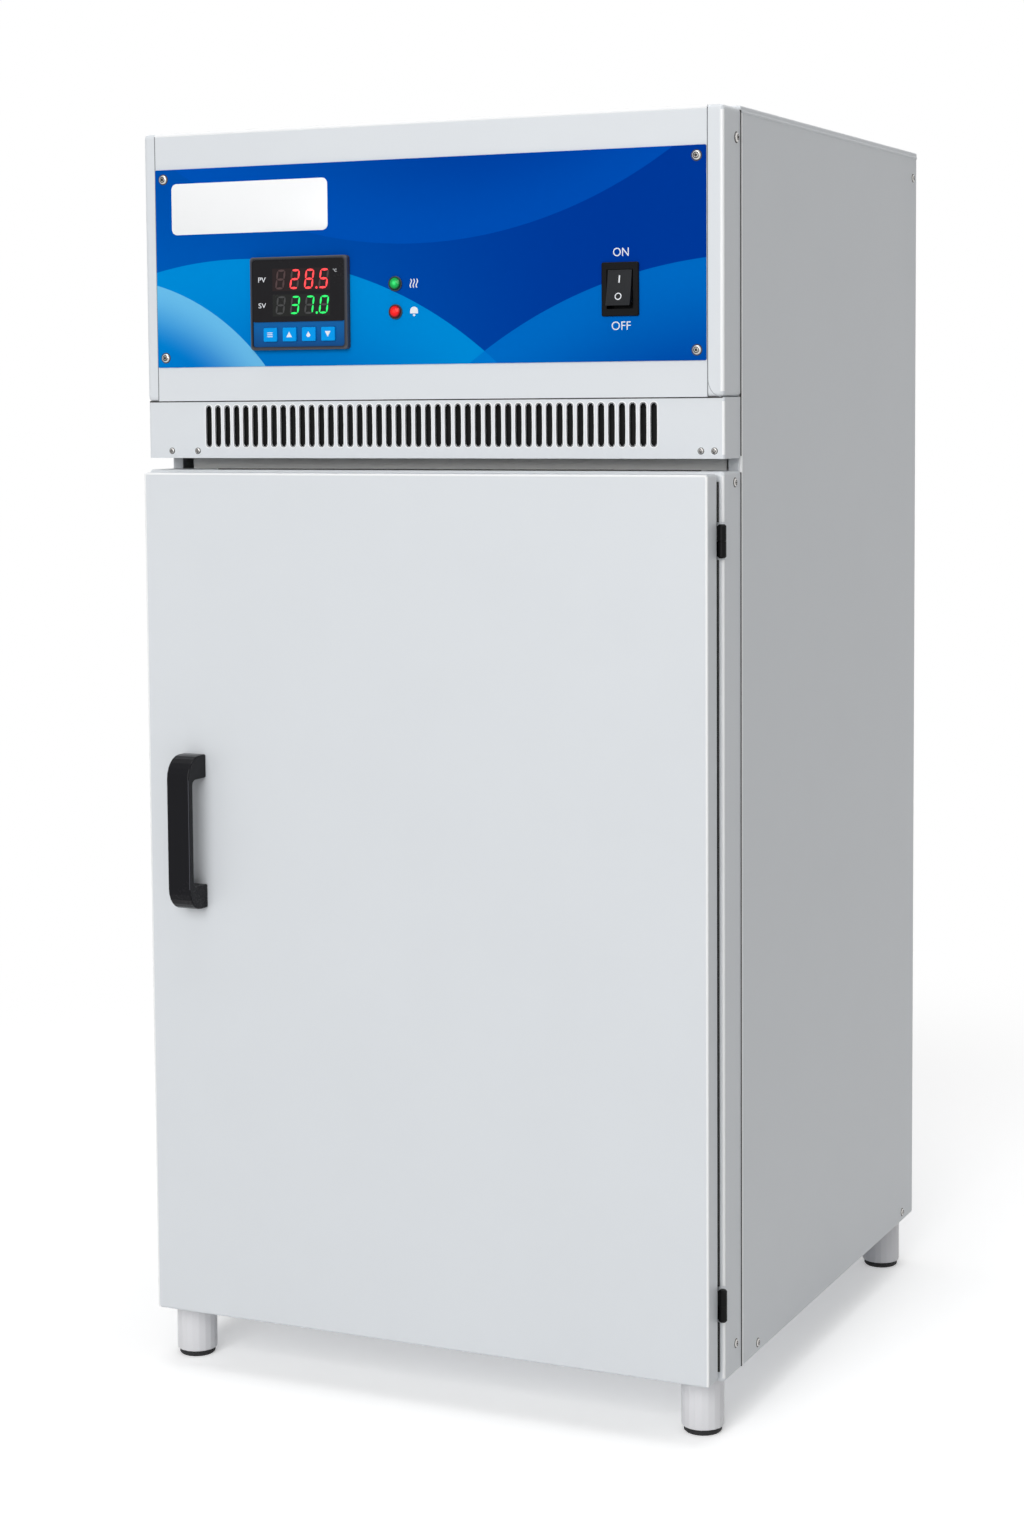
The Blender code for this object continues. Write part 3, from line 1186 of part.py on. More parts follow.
def make_door():
    """The door on its hinge axis: skin, foam, inner pan, gasket and the bow handle."""
    left, right, low, top = DOOR_LEFT_EDGE, DOOR_RIGHT_EDGE, DOOR_UP, DOOR_TOP

    def shape(inset, radius):
        return rounded(left + inset, right - inset, low + inset, top - inset, radius)

    edge = arc(DOOR_EDGE, DOOR_FRONT + DOOR_EDGE, DOOR_EDGE, 270, 180, steps=4)
    inner_corner = DOOR_EDGE - SHEET
    sections = [section("Y", y, shape(inset, DOOR_EDGE)) for inset, y in edge]
    sections.append(section("Y", DOOR_BACK, shape(0.0, DOOR_EDGE)))
    sections.append(section("Y", DOOR_BACK, shape(SHEET, inner_corner)))
    sections.append(section("Y", DOOR_FRONT + DOOR_EDGE, shape(SHEET, inner_corner)))
    sections.append(section("Y", DOOR_FRONT + SHEET, shape(DOOR_EDGE, inner_corner)))
    add("door_skin", loft(sections), "white_paint", door, smooth=40)

    inside = SHEET + GAP
    pan_front = DOOR_BACK - SHEET
    foam_rim = shape(DOOR_EDGE + GAP, inner_corner)
    foam_edge = shape(inside, inner_corner)
    foam = loft(
        [
            section("Y", DOOR_FRONT + SHEET + GAP, foam_rim),
            section("Y", DOOR_FRONT + DOOR_EDGE + GAP, foam_edge),
            section("Y", pan_front - GAP, foam_edge),
        ]
    )
    add("door_foam", foam, "foam", door)

    def field(extra):
        margin = DOOR_FIELD_MARGIN - extra
        return rounded(left + margin, right - margin, low + margin, top - margin, DOOR_FIELD_CORNER + extra)

    pan = loft(
        [
            section("Y", pan_front + DOOR_FIELD_RISE, field(0.0)),
            section("Y", pan_front, field(DOOR_FIELD_SLOPE)),
            section("Y", pan_front, shape(inside, inner_corner)),
            section("Y", DOOR_BACK, shape(inside, inner_corner)),
            section("Y", DOOR_BACK, field(DOOR_FIELD_SLOPE)),
            section("Y", DOOR_BACK + DOOR_FIELD_RISE, field(0.0)),
        ]
    )
    add("door_inner_pan", pan, "white_paint", door, smooth=40)

    def seal(offset):
        radius = GASKET_CORNER - offset
        return rounded(
            left + GASKET_MARGIN + offset,
            right - GASKET_MARGIN - offset,
            low + GASKET_MARGIN + offset,
            top - GASKET_MARGIN - offset,
            max(radius, SHEET),
        )

    back, front = -GAP, DOOR_BACK + GAP
    bulb_start = (GASKET_WIDTH - GASKET_BULB) / 2
    shoulder = GASKET_SHOULDER
    profile = [
        (0.0, front),
        (0.0, front + GASKET_BASE),
        (bulb_start, front + GASKET_BASE),
        (bulb_start + shoulder, back),
        (bulb_start + GASKET_BULB - shoulder, back),
        (bulb_start + GASKET_BULB, front + GASKET_BASE),
        (GASKET_WIDTH, front + GASKET_BASE),
        (GASKET_WIDTH, front),
    ]
    gasket = loft([section("Y", y, seal(offset)) for offset, y in profile], closed=True)
    add("door_gasket", gasket, "grey_rubber", door, smooth=40)
    make_handle()


def make_handle():
    """The bow handle: one outline with round outer corners, a finger gap, and two feet on the door."""
    x = DOOR_LEFT_EDGE + HANDLE_CENTRE
    foot = DOOR_FRONT - GAP
    front = DOOR_FRONT - HANDLE_STAND_OFF
    low = DOOR_UP + HANDLE_UP
    high = low + HANDLE_LENGTH
    outer, inner = HANDLE_OUTER_RADIUS, HANDLE_INNER_RADIUS
    gap_y = front + HANDLE_GRIP
    outline = [(foot, low)]
    outline += arc(front + outer, low + outer, outer, 270, 180, steps=6)
    outline += arc(front + outer, high - outer, outer, 180, 90, steps=6)
    outline += [(foot, high), (foot, high - HANDLE_FOOT)]
    outline += arc(gap_y + inner, high - HANDLE_FOOT - inner, inner, 90, 180, steps=4)
    outline += arc(gap_y + inner, low + HANDLE_FOOT + inner, inner, 180, 270, steps=4)
    outline.append((foot, low + HANDLE_FOOT))
    bow = prism(outline, "X", x - HANDLE_WIDTH / 2, x + HANDLE_WIDTH / 2)
    handle = add("door_handle", bow, "black_plastic", door, smooth=30)
    chamfer = handle.modifiers.new("chamfer", "BEVEL")
    chamfer.width = HANDLE_CHAMFER
    chamfer.segments = 2
    chamfer.limit_method = "ANGLE"
    chamfer.angle_limit = math.radians(40)


def make_hinges():
    """Two lift-off hinges: the lower half on the collar with its pin, the upper half on the door."""
    radius, pin, half, dome = HINGE_RADIUS, HINGE_PIN, HINGE_LENGTH / 2, HINGE_DOME
    for name, up in (("upper_hinge", UPPER_HINGE_UP), ("lower_hinge", LOWER_HINGE_UP)):
        split = up + half
        top = up + HINGE_LENGTH
        pin_top = split + HINGE_PIN_LENGTH
        fixed = [
            (0.0, up),
            (radius - dome, up),
            (radius, up + dome),
            (radius, split),
            (pin, split),
            (pin, pin_top),
            (0.0, pin_top),
        ]
        centre = (HINGE_X, HINGE_Y)
        knuckle = turned(fixed, "Z", centre, 16)
        lower = add(f"{name}_fixed_leaf", knuckle, "black_steel", cabinet, smooth=40)
        leaf_left = HINGE_X - HINGE_LEAF_WIDTH
        leaf_low = (leaf_left, -GAP - HINGE_LEAF, up + dome)
        leaf_high = (HINGE_X - HINGE_PIN - GAP, -GAP, split - GAP)
        join(lower, boxes((leaf_low, leaf_high)))
        bore = pin + GAP
        swinging = [
            (0.0, pin_top + GAP),
            (bore, pin_top + GAP),
            (bore, split + GAP),
            (radius, split + GAP),
            (radius, top - dome),
            (radius - dome, top),
            (0.0, top),
        ]
        upper = add(f"{name}_door_leaf", turned(swinging, "Z", centre, 16), "black_steel", door, smooth=40)
        door_low = (leaf_left, DOOR_BACK + GAP, split + 2 * GAP)
        door_high = (HINGE_X - bore - GAP, DOOR_BACK + GAP + HINGE_LEAF, top - dome)
        join(upper, boxes((door_low, door_high)))


def make_legs():
    """Four round legs, each a capped tube with a rubber pad plugged into its lower end."""
    places = {
        "front_left_leg": (-1, LEG_FRONT_Y),
        "front_right_leg": (1, LEG_FRONT_Y),
        "rear_left_leg": (-1, CABINET_DEPTH - LEG_BACK_INSET),
        "rear_right_leg": (1, CABINET_DEPTH - LEG_BACK_INSET),
    }
    end = -LEG_HEIGHT + PAD_SHOWN
    bore = LEG_RADIUS - LEG_WALL
    for name, (side, y) in places.items():
        centre = (side * (HALF - LEG_INSET_X), y)
        leg = [(0.0, -GAP), (LEG_RADIUS, -GAP)]
        leg += arc(LEG_RADIUS - LEG_LIP, end + LEG_LIP, LEG_LIP, 0, -90, steps=2)
        leg += [(bore, end), (bore, -GAP - LEG_WALL), (0.0, -GAP - LEG_WALL)]
        add(name, turned(leg, "Z", centre, 20), "white_paint", cabinet, smooth=40)
        plug = bore - GAP
        pad = [
            (0.0, end + PAD_SPIGOT),
            (plug, end + PAD_SPIGOT),
            (plug, -LEG_HEIGHT + LEG_LIP),
            (plug - LEG_LIP, -LEG_HEIGHT),
            (0.0, -LEG_HEIGHT),
        ]
        add(f"{name}_pad", turned(pad, "Z", centre, 20), "black_rubber", cabinet, smooth=40)


for old in list(bpy.data.objects):
    bpy.data.objects.remove(old, do_unlink=True)

cabinet = empty("cabinet_frame", CABINET_PLACE)
door = empty("door_hinge_axis", (HINGE_X, HINGE_Y, 0.0), cabinet)

make_shell()
make_front_frame()
make_insulation()
make_collar()
make_head()
make_controller()
make_lamps()
make_switch()
make_racks_and_shelves()
make_air_system()
make_machine_compartment()
make_inlet()
make_door()
make_hinges()
make_legs()
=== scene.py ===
"""The finished look of a floor-standing laboratory incubator, dressed around its CAD frame.

Everything is in metres in the CAD frame: x to the viewer's right, y to the back, z up from the floor.
"""

import json
import math

import bmesh
import bpy
from mathutils import Matrix, Vector


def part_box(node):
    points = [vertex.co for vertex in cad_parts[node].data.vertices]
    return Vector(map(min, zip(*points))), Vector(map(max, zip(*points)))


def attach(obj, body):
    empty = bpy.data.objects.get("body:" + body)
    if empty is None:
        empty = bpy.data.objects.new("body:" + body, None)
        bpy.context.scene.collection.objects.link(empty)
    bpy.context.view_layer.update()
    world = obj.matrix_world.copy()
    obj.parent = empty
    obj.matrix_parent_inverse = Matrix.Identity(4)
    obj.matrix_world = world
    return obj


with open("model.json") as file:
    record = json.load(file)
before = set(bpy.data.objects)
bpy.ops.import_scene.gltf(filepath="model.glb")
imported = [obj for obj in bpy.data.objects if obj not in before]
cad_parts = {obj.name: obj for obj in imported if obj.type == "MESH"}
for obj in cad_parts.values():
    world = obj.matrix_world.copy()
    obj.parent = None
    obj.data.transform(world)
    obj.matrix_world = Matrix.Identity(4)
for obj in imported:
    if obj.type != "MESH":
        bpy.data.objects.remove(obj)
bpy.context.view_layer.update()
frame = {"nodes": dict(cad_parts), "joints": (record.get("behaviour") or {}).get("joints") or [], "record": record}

NODES = frame["nodes"]


def box_of(node):
    """The lowest and highest corners of a CAD node."""
    return [Vector(corner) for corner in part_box(node)]


def low_of(node):
    """The lowest corner of a CAD node."""
    return box_of(node)[0]


def high_of(node):
    """The highest corner of a CAD node."""
    return box_of(node)[1]


COLLAR_LOW, COLLAR_HIGH = box_of("door_collar")
VENT_LOW, VENT_HIGH = box_of("vent_strip")
PLATE_LOW, PLATE_HIGH = box_of("control_plate")
CASE_LOW, CASE_HIGH = box_of("controller_case")
WINDOW_LOW, WINDOW_HIGH = box_of("controller_window")
PLATE_FACE = PLATE_LOW.y
WINDOW_FACE = WINDOW_LOW.y
SIDE_X = high_of("right_side_panel").x

# The cabinet's own corner: its middle across, the front plane of its collar, and its underside
CORNER = Vector(((COLLAR_LOW.x + COLLAR_HIGH.x) / 2, COLLAR_LOW.y, COLLAR_LOW.z))


# Camera: the photograph's viewing angle, from a pinhole fitted to the cabinet's corners

CAMERA_FROM_CORNER = Vector((1.2591, -2.5220, 0.9567))
CAMERA_YAW = 0.4317
CAMERA_PITCH = -0.0792
CAMERA_ROLL = -0.0071
CAMERA_REACH = 60.0
FOCAL_PIXELS = 2805.6
PICTURE_HEIGHT = 1536
PRINCIPAL_POINT_UP = 140
SENSOR = 36.0


def make_camera():
    """Places the camera by its yaw, pitch and roll."""
    data = bpy.data.cameras.new("camera")
    data.sensor_width = SENSOR
    data.lens = FOCAL_PIXELS / PICTURE_HEIGHT * SENSOR
    data.shift_y = -PRINCIPAL_POINT_UP / PICTURE_HEIGHT
    data.clip_end = CAMERA_REACH
    camera = bpy.data.objects.new("camera", data)
    bpy.context.scene.collection.objects.link(camera)
    yaw, pitch, roll = CAMERA_YAW, CAMERA_PITCH, CAMERA_ROLL
    ahead = Vector((-math.sin(yaw) * math.cos(pitch), math.cos(yaw) * math.cos(pitch), math.sin(pitch)))
    level = Vector((math.cos(yaw), math.sin(yaw), 0.0))
    upright = level.cross(ahead)
    right = level * math.cos(roll) + upright * math.sin(roll)
    up = upright * math.cos(roll) - level * math.sin(roll)
    turn = Matrix((right, up, -ahead)).transposed().to_4x4()
    camera.matrix_world = Matrix.Translation(CORNER + CAMERA_FROM_CORNER) @ turn
    bpy.context.scene.camera = camera


make_camera()


# Node helpers: a small vocabulary for writing materials

WHITE = (1.0, 1.0, 1.0, 1.0)
BLACK = (0.0, 0.0, 0.0, 1.0)


class Shade:
    """A material's or a group's node tree, with short calls for the nodes used here."""

    def __init__(self, tree):
        self.tree = tree

    def feed(self, socket, value):
        """Links an output, or sets a plain value."""
        if isinstance(value, bpy.types.NodeSocket):
            self.tree.links.new(value, socket)
        else:
            socket.default_value = value

    def fill(self, node, **inputs):
        """Fills a node's inputs by name, each with a value or with another node's output."""
        for name, value in inputs.items():
            self.feed(node.inputs[name.replace("_", " ")], value)
        return node

    def node(self, kind, **inputs):
        """A new node with its inputs filled."""
        return self.fill(self.tree.nodes.new(kind), **inputs)

    def group(self, shared, **inputs):
        """A shared effect, placed with this material's own values."""
        made = self.tree.nodes.new("ShaderNodeGroup")
        made.node_tree = shared
        return self.fill(made, **inputs).outputs

    def math(self, operation, first, second=0.5, clamp=False):
        """A Math node's output."""
        made = self.tree.nodes.new("ShaderNodeMath")
        made.operation = operation
        made.use_clamp = clamp
        self.feed(made.inputs[0], first)
        self.feed(made.inputs[1], second)
        return made.outputs[0]

    def distance(self, across, up):
        """How far a point lies from a centre, by its two offsets."""
        squares = self.math("ADD", self.math("MULTIPLY", across, across), self.math("MULTIPLY", up, up))
        return self.math("SQRT", squares)

    def step(self, value, low, high, to_low=0.0, to_high=1.0):
        """A smooth step of a value between two edges."""
        made = self.tree.nodes.new("ShaderNodeMapRange")
        made.interpolation_type = "SMOOTHSTEP"
        for number, item in enumerate((value, low, high, to_low, to_high)):
            self.feed(made.inputs[number], item)
        return made.outputs[0]

    def span(self, value, low, high, soft=0.0001):
        """A mask that is 1 where a coordinate lies between two places."""
        start = self.step(value, low - soft, low + soft)
        end = self.step(value, high - soft, high + soft, 1.0, 0.0)
        return self.math("MULTIPLY", start, end)

    def mix(self, factor, first, second):
        """A mix of two colours."""
        made = self.tree.nodes.new("ShaderNodeMix")
        made.data_type = "RGBA"
        self.feed(made.inputs[0], factor)
        self.feed(made.inputs[6], first)
        self.feed(made.inputs[7], second)
        return made.outputs[2]

    def place(self):
        """Object coordinates."""
        return self.node("ShaderNodeTexCoord").outputs["Object"]

    def axes(self, vector):
        """The three parts of a vector."""
        return self.node("ShaderNodeSeparateXYZ", Vector=vector).outputs

    def noise(self, vector, scale, detail=1.0, roughness=0.5):
        """A noise field."""
        made = self.node("ShaderNodeTexNoise", Vector=vector, Scale=scale, Detail=detail, Roughness=roughness)
        return made.outputs["Fac"]

    def bump(self, height, strength, distance):
        """A Bump node's normal."""
        return self.node("ShaderNodeBump", Height=height, Strength=strength, Distance=distance).outputs[0]


def rgba(red, green, blue):
    """A colour as the photograph shows it, from 0 to 255, in linear light."""
    parts = [value / 255 for value in (red, green, blue)]
    linear = [part / 12.92 if part <= 0.04045 else ((part + 0.055) / 1.055) ** 2.4 for part in parts]
    return (*linear, 1.0)


def dimmed(colour, share):
    """A colour at a share of its level."""
    return (*(part * share for part in colour[:3]), 1.0)


def new_material(name):
    """A material with a Principled BSDF, and its Shade."""
    material = bpy.data.materials.new(name)
    material.use_nodes = True
    shade = Shade(material.node_tree)
    return material, shade, material.node_tree.nodes["Principled BSDF"]


def new_group(name, inputs, outputs):
    """A shader node group with named sockets, each with its kind, and its value where it has one."""
    tree = bpy.data.node_groups.new(name, "ShaderNodeTree")
    for label, kind, value in inputs:
        socket = tree.interface.new_socket(label, in_out="INPUT", socket_type=f"NodeSocket{kind}")
        if value is not None:
            socket.default_value = value
    for label, kind in outputs:
        tree.interface.new_socket(label, in_out="OUTPUT", socket_type=f"NodeSocket{kind}")
    shade = Shade(tree)
    return tree, shade, shade.node("NodeGroupInput").outputs, shade.node("NodeGroupOutput").inputs


# Shared effects


def make_orange_peel():
    """The fine dimples and slow waviness of sprayed and moulded surfaces."""
    tree, shade, given, out = new_group(
        "orange_peel",
        [
            ("Place", "Vector", None),
            ("Dimples", "Float", 700.0),
            ("Waves", "Float", 9.0),
            ("Wave Share", "Float", 0.5),
        ],
        [("Height", "Float"), ("Tone", "Float")],
    )
    dimples = shade.noise(given["Place"], given["Dimples"], detail=1.5)
    waves = shade.noise(given["Place"], given["Waves"], detail=2.0)
    shade.feed(out["Height"], shade.math("ADD", dimples, shade.math("MULTIPLY", waves, given["Wave Share"])))
    shade.feed(out["Tone"], waves)
    return tree


def make_brushing():
    """Fine parallel scratches, long in one direction, with slow changes of sheen."""
    tree, shade, given, out = new_group(
        "brushing",
        [("Place", "Vector", None), ("Stretch", "Vector", (60.0, 60.0, 1.0)), ("Fineness", "Float", 30.0)],
        [("Height", "Float"), ("Sheen", "Float")],
    )
    mapped = shade.node("ShaderNodeMapping", Vector=given["Place"], Scale=given["Stretch"]).outputs[0]
    lines = shade.noise(mapped, given["Fineness"], detail=3.0, roughness=0.6)
    shade.feed(out["Height"], lines)
    shade.feed(out["Sheen"], shade.math("MULTIPLY", lines, shade.noise(given["Place"], 6.0)))
    return tree


def make_handling():
    """Faint marks of use: cloudy smudges broken up by small specks."""
    tree, shade, given, out = new_group(
        "handling",
        [("Place", "Vector", None), ("Size", "Float", 5.0)],
        [("Mark", "Float")],
    )
    cloud = shade.noise(given["Place"], given["Size"], detail=4.0, roughness=0.6)
    specks = shade.noise(given["Place"], 420.0)
    patch = shade.step(cloud, 0.48, 0.72)
    shade.feed(out["Mark"], shade.math("MULTIPLY", patch, shade.step(specks, 0.35, 0.70)))
    return tree


def make_painted_edge_highlight():
    """A mask of the edges that stand out, between two levels of pointedness, where a lighter colour is laid as a
    painted highlight.
    """
    tree, shade, given, out = new_group(
        "caught_light",
        [("Start", "Float", 0.52), ("End", "Float", 0.60)],
        [("Edge", "Float")],
    )
    pointed = shade.node("ShaderNodeNewGeometry").outputs["Pointiness"]
    shade.feed(out["Edge"], shade.step(pointed, given["Start"], given["End"]))
    return tree


ORANGE_PEEL = make_orange_peel()
BRUSHING = make_brushing()
HANDLING = make_handling()
PAINTED_EDGE_HIGHLIGHT = make_painted_edge_highlight()


# Materials


def coated(name, colour, roughness, dimples=700.0, depth=0.00006, tone=0.03, specular=0.5):
    """Paint or moulded plastic: a base colour with peel, a slow change of tone and faint marks."""
    material, shade, surface = new_material(name)
    place = shade.place()
    peel = shade.group(ORANGE_PEEL, Place=place, Dimples=dimples)
    marks = shade.group(HANDLING, Place=place)
    shade.fill(
        surface,
        Base_Color=shade.mix(peel["Tone"], dimmed(colour, 1 - tone), colour),
        Roughness=shade.step(marks["Mark"], 0.0, 1.0, roughness, roughness + 0.08),
        Normal=shade.bump(peel["Height"], 0.35, depth),
        Specular_IOR_Level=specular,
    )
    return material


def brushed(name, colour, stretch, roughness=0.28):
    """Brushed or drawn metal, scratched along one axis."""
    material, shade, surface = new_material(name)
    place = shade.place()
    lines = shade.group(BRUSHING, Place=place, Stretch=stretch)
    marks = shade.group(HANDLING, Place=place, Size=9.0)
    shade.fill(
        surface,
        Metallic=1.0,
        Base_Color=shade.mix(marks["Mark"], colour, dimmed(colour, 0.9)),
        Roughness=shade.step(lines["Sheen"], 0.1, 0.5, roughness - 0.06, roughness + 0.10),
        Normal=shade.bump(lines["Height"], 0.3, 0.00003),
    )
    return material


def lamp_bezel_plastic():
    """Dark moulded plastic with a lighter thin rim: a painted highlight."""
    material, shade, surface = new_material("lamp_bezel_dark")
    peel = shade.group(ORANGE_PEEL, Place=shade.place(), Dimples=2400.0)
    edge = shade.group(PAINTED_EDGE_HIGHLIGHT, Start=0.52, End=0.60)["Edge"]
    shade.fill(
        surface,
        Base_Color=shade.mix(edge, rgba(16, 24, 38), rgba(48, 58, 72)),
        Roughness=shade.step(peel["Tone"], 0.2, 0.8, 0.35, 0.41),
        Normal=shade.bump(peel["Height"], 0.3, 0.00002),
    )
    return material


PLATE_BLUE = rgba(0, 102, 198)
PLATE_DEEP_BLUE = rgba(0, 57, 156)
# The print starts to deepen left of the plate, and is deepest short of its right edge
DEEPENING_BEFORE = 0.10
DEEPENING_SHORT = 0.08
SWEEP_SOFTNESS = 0.0003
# Swept blues of the control plate: centre and radius in metres from the plate's lower left corner,
# how far each tint fades inwards, and its colour and strength
SWEEPS = (
    (0.10, -0.33, 0.440, 0.200, rgba(0, 148, 226), 0.85),
    (0.66, -0.40, 0.500, 0.150, rgba(0, 116, 208), 0.80),
    (0.30, 0.62, 0.500, 0.110, rgba(0, 84, 190), 0.70),
    (-0.07, -0.16, 0.255, 0.060, rgba(120, 205, 246), 0.80),
)


def printed_plate():
    """Blue print that deepens to the right and upwards, crossed by the edges of large soft discs."""
    material, shade, surface = new_material("control_plate_print")
    place = shade.place()
    x, _, z = shade.axes(place)
    right = shade.step(x, PLATE_LOW.x - DEEPENING_BEFORE, PLATE_HIGH.x - DEEPENING_SHORT)
    rise = shade.step(z, PLATE_LOW.z, PLATE_HIGH.z, 0.0, 0.5)
    colour = shade.mix(rise, shade.mix(right, PLATE_BLUE, PLATE_DEEP_BLUE), PLATE_DEEP_BLUE)
    for centre_x, centre_z, radius, fade, tint, strength in SWEEPS:
        across = shade.math("SUBTRACT", x, PLATE_LOW.x + centre_x)
        up = shade.math("SUBTRACT", z, PLATE_LOW.z + centre_z)
        distance = shade.distance(across, up)
        inside = shade.step(distance, radius - SWEEP_SOFTNESS, radius + SWEEP_SOFTNESS, 1.0, 0.0)
        near_edge = shade.step(distance, radius - fade, radius, 0.0, strength)
        colour = shade.mix(shade.math("MULTIPLY", inside, near_edge), colour, tint)
    peel = shade.group(ORANGE_PEEL, Place=place, Dimples=1500.0)
    marks = shade.group(HANDLING, Place=place, Size=12.0)
    shade.fill(
        surface,
        Base_Color=colour,
        Roughness=shade.step(marks["Mark"], 0.0, 1.0, 0.34, 0.44),
        Normal=shade.bump(peel["Height"], 0.2, 0.00002),
        Specular_IOR_Level=0.0,
    )
    return material


CASE_RIM = 0.0031
CASE_FLOOR_DEPTH = 0.0012
CASE_FLOOR_SOFTNESS = 0.0003
KEY_FIELD_OVERLAP = 0.0005


def controller_case_plastic():
    """Dark grey rim with lighter edges as a painted highlight, and a blue key field on the floor below the window.
    """
    material, shade, surface = new_material("controller_case_plastic")
    place = shade.place()
    x, y, z = shade.axes(place)
    across_field = shade.span(x, CASE_LOW.x + CASE_RIM, CASE_HIGH.x - CASE_RIM)
    up_field = shade.span(z, CASE_LOW.z + CASE_RIM, WINDOW_LOW.z + KEY_FIELD_OVERLAP)
    floor_y = CASE_LOW.y + CASE_FLOOR_DEPTH
    deep = shade.step(y, floor_y, floor_y + CASE_FLOOR_SOFTNESS)
    field = shade.math("MULTIPLY", shade.math("MULTIPLY", across_field, up_field), deep)
    blue = shade.mix(shade.step(z, CASE_LOW.z, WINDOW_LOW.z), rgba(0, 74, 138), rgba(0, 96, 166))
    edge = shade.group(PAINTED_EDGE_HIGHLIGHT, Start=0.52, End=0.62)["Edge"]
    peel = shade.group(ORANGE_PEEL, Place=place, Dimples=2600.0)
    shade.fill(
        surface,
        Base_Color=shade.mix(field, shade.mix(edge, rgba(34, 36, 42), rgba(92, 92, 98)), blue),
        Roughness=shade.step(peel["Tone"], 0.2, 0.8, 0.32, 0.40),
        Normal=shade.bump(peel["Height"], 0.25, 0.00002),
        Specular_IOR_Level=0.15,
    )
    return material


# The window's lighter fields, in shares of its size: their ends across, then each one's foot, top and colour
FIELD_START = 0.22
FIELD_END = 0.85
FIELD_SOFTNESS = 0.0005
DISPLAY_FIELDS = (
    (0.09, 0.44, rgba(36, 37, 36)),
    (0.50, 0.86, rgba(42, 32, 33)),
)


def display_glass():
    """Smoked window with two faintly lighter fields, one behind each row of digits."""
    material, shade, surface = new_material("display_window")
    place = shade.place()
    x, _, z = shade.axes(place)
    size = WINDOW_HIGH - WINDOW_LOW
    left, right = WINDOW_LOW.x + size.x * FIELD_START, WINDOW_LOW.x + size.x * FIELD_END
    across_field = shade.span(x, left, right, FIELD_SOFTNESS)
    colour = rgba(27, 26, 29)
    for foot, top, tint in DISPLAY_FIELDS:
        field = shade.span(z, WINDOW_LOW.z + size.z * foot, WINDOW_LOW.z + size.z * top, FIELD_SOFTNESS)
        colour = shade.mix(shade.math("MULTIPLY", across_field, field), colour, tint)
    marks = shade.group(HANDLING, Place=place, Size=40.0)
    shade.fill(
        surface,
        Base_Color=colour,
        Roughness=shade.step(marks["Mark"], 0.0, 1.0, 0.16, 0.30),
        Specular_IOR_Level=0.12,
    )
    return material


# In shares of a lens's radius: how far up its bright core lies, where the core fades and where the rim darkens
# The core, lifted above the middle, is partly the lamp's glow and partly a painted highlight
CORE_LIFT = 0.1
CORE_FADE = (0.05, 0.55)
RIM_FADE = (0.60, 0.98)
LENS_GLOW = 0.30


def lamp_lens(name, node, core, body, rim):
    """A lit lens: a bright core a little above its middle, partly glow and partly a painted highlight, a full
    colour round it and a dark rim.
    """
    material, shade, surface = new_material(name)
    low, high = box_of(node)
    middle, radius = (low + high) / 2, (high.x - low.x) / 2
    place = shade.place()
    x, _, z = shade.axes(place)
    across = shade.math("SUBTRACT", x, middle.x)
    up = shade.math("SUBTRACT", z, middle.z + radius * CORE_LIFT)
    share = shade.math("DIVIDE", shade.distance(across, up), radius)
    colour = shade.mix(shade.step(share, *CORE_FADE), core, body)
    colour = shade.mix(shade.step(share, *RIM_FADE), colour, rim)
    shade.fill(
        surface,
        Base_Color=colour,
        Emission_Color=colour,
        Emission_Strength=LENS_GLOW,
        Specular_IOR_Level=0.2,
        Roughness=shade.step(shade.noise(place, 900.0), 0.3, 0.7, 0.10, 0.18),
    )
    return material


def glowing(name, colour, strength):
    """Lit segments, a little uneven as light pipes are."""
    material, shade, surface = new_material(name)
    uneven = shade.mix(shade.noise(shade.place(), 700.0), dimmed(colour, 0.8), colour)
    shade.fill(surface, Base_Color=uneven, Emission_Color=uneven, Emission_Strength=strength, Roughness=0.4)
    return material


# Grain of small smooth pieces: the dimples' fineness and depth
MOULDED_GRAIN = {"dimples": 2600.0, "depth": 0.00002}
HANDLE_GRAIN = {"dimples": 2200.0, "depth": 0.00003}
PRINTED_GRAIN = {"dimples": 2400.0, "depth": 0.00001}
UNLIT_GRAIN = {"dimples": 2000.0, "depth": 0.00001}
POLISHED_GRAIN = {"dimples": 1500.0, "depth": 0.00001}

WHITE_PAINT = coated("white_powder_coat", rgba(226, 230, 234), 0.38, depth=0.00005)
# Painted highlight: a white above the paint's own, for lines on rounded edges and the rims round the slots
HIGHLIGHT_WHITE = coated("bright_edge", rgba(250, 251, 252), 0.30, tone=0.01, **POLISHED_GRAIN)
# Painted light: the legs' own copy of the white paint, lighter so that they read lit under the cabinet
LEG_LIGHTENED_WHITE = coated("leg_paint", rgba(236, 236, 239), 0.34, tone=0.01)
# Painted light: the neck frame's own copy of the white paint, lighter so that the recess reads lit
NECK_LIGHTENED_WHITE = coated("neck_sheet", rgba(246, 247, 248), 0.5)
WHITE_PLATE = coated("white_name_plate", rgba(252, 253, 254), 0.30, tone=0.01, **POLISHED_GRAIN)
WHITE_PRINT = coated("white_print", rgba(238, 241, 246), 0.45, **PRINTED_GRAIN)
# Painted shade: the grey of the lines at the end caps' seams
SEAM_SHADE_GREY = coated("cap_seam", rgba(118, 121, 125), 0.5, **PRINTED_GRAIN)
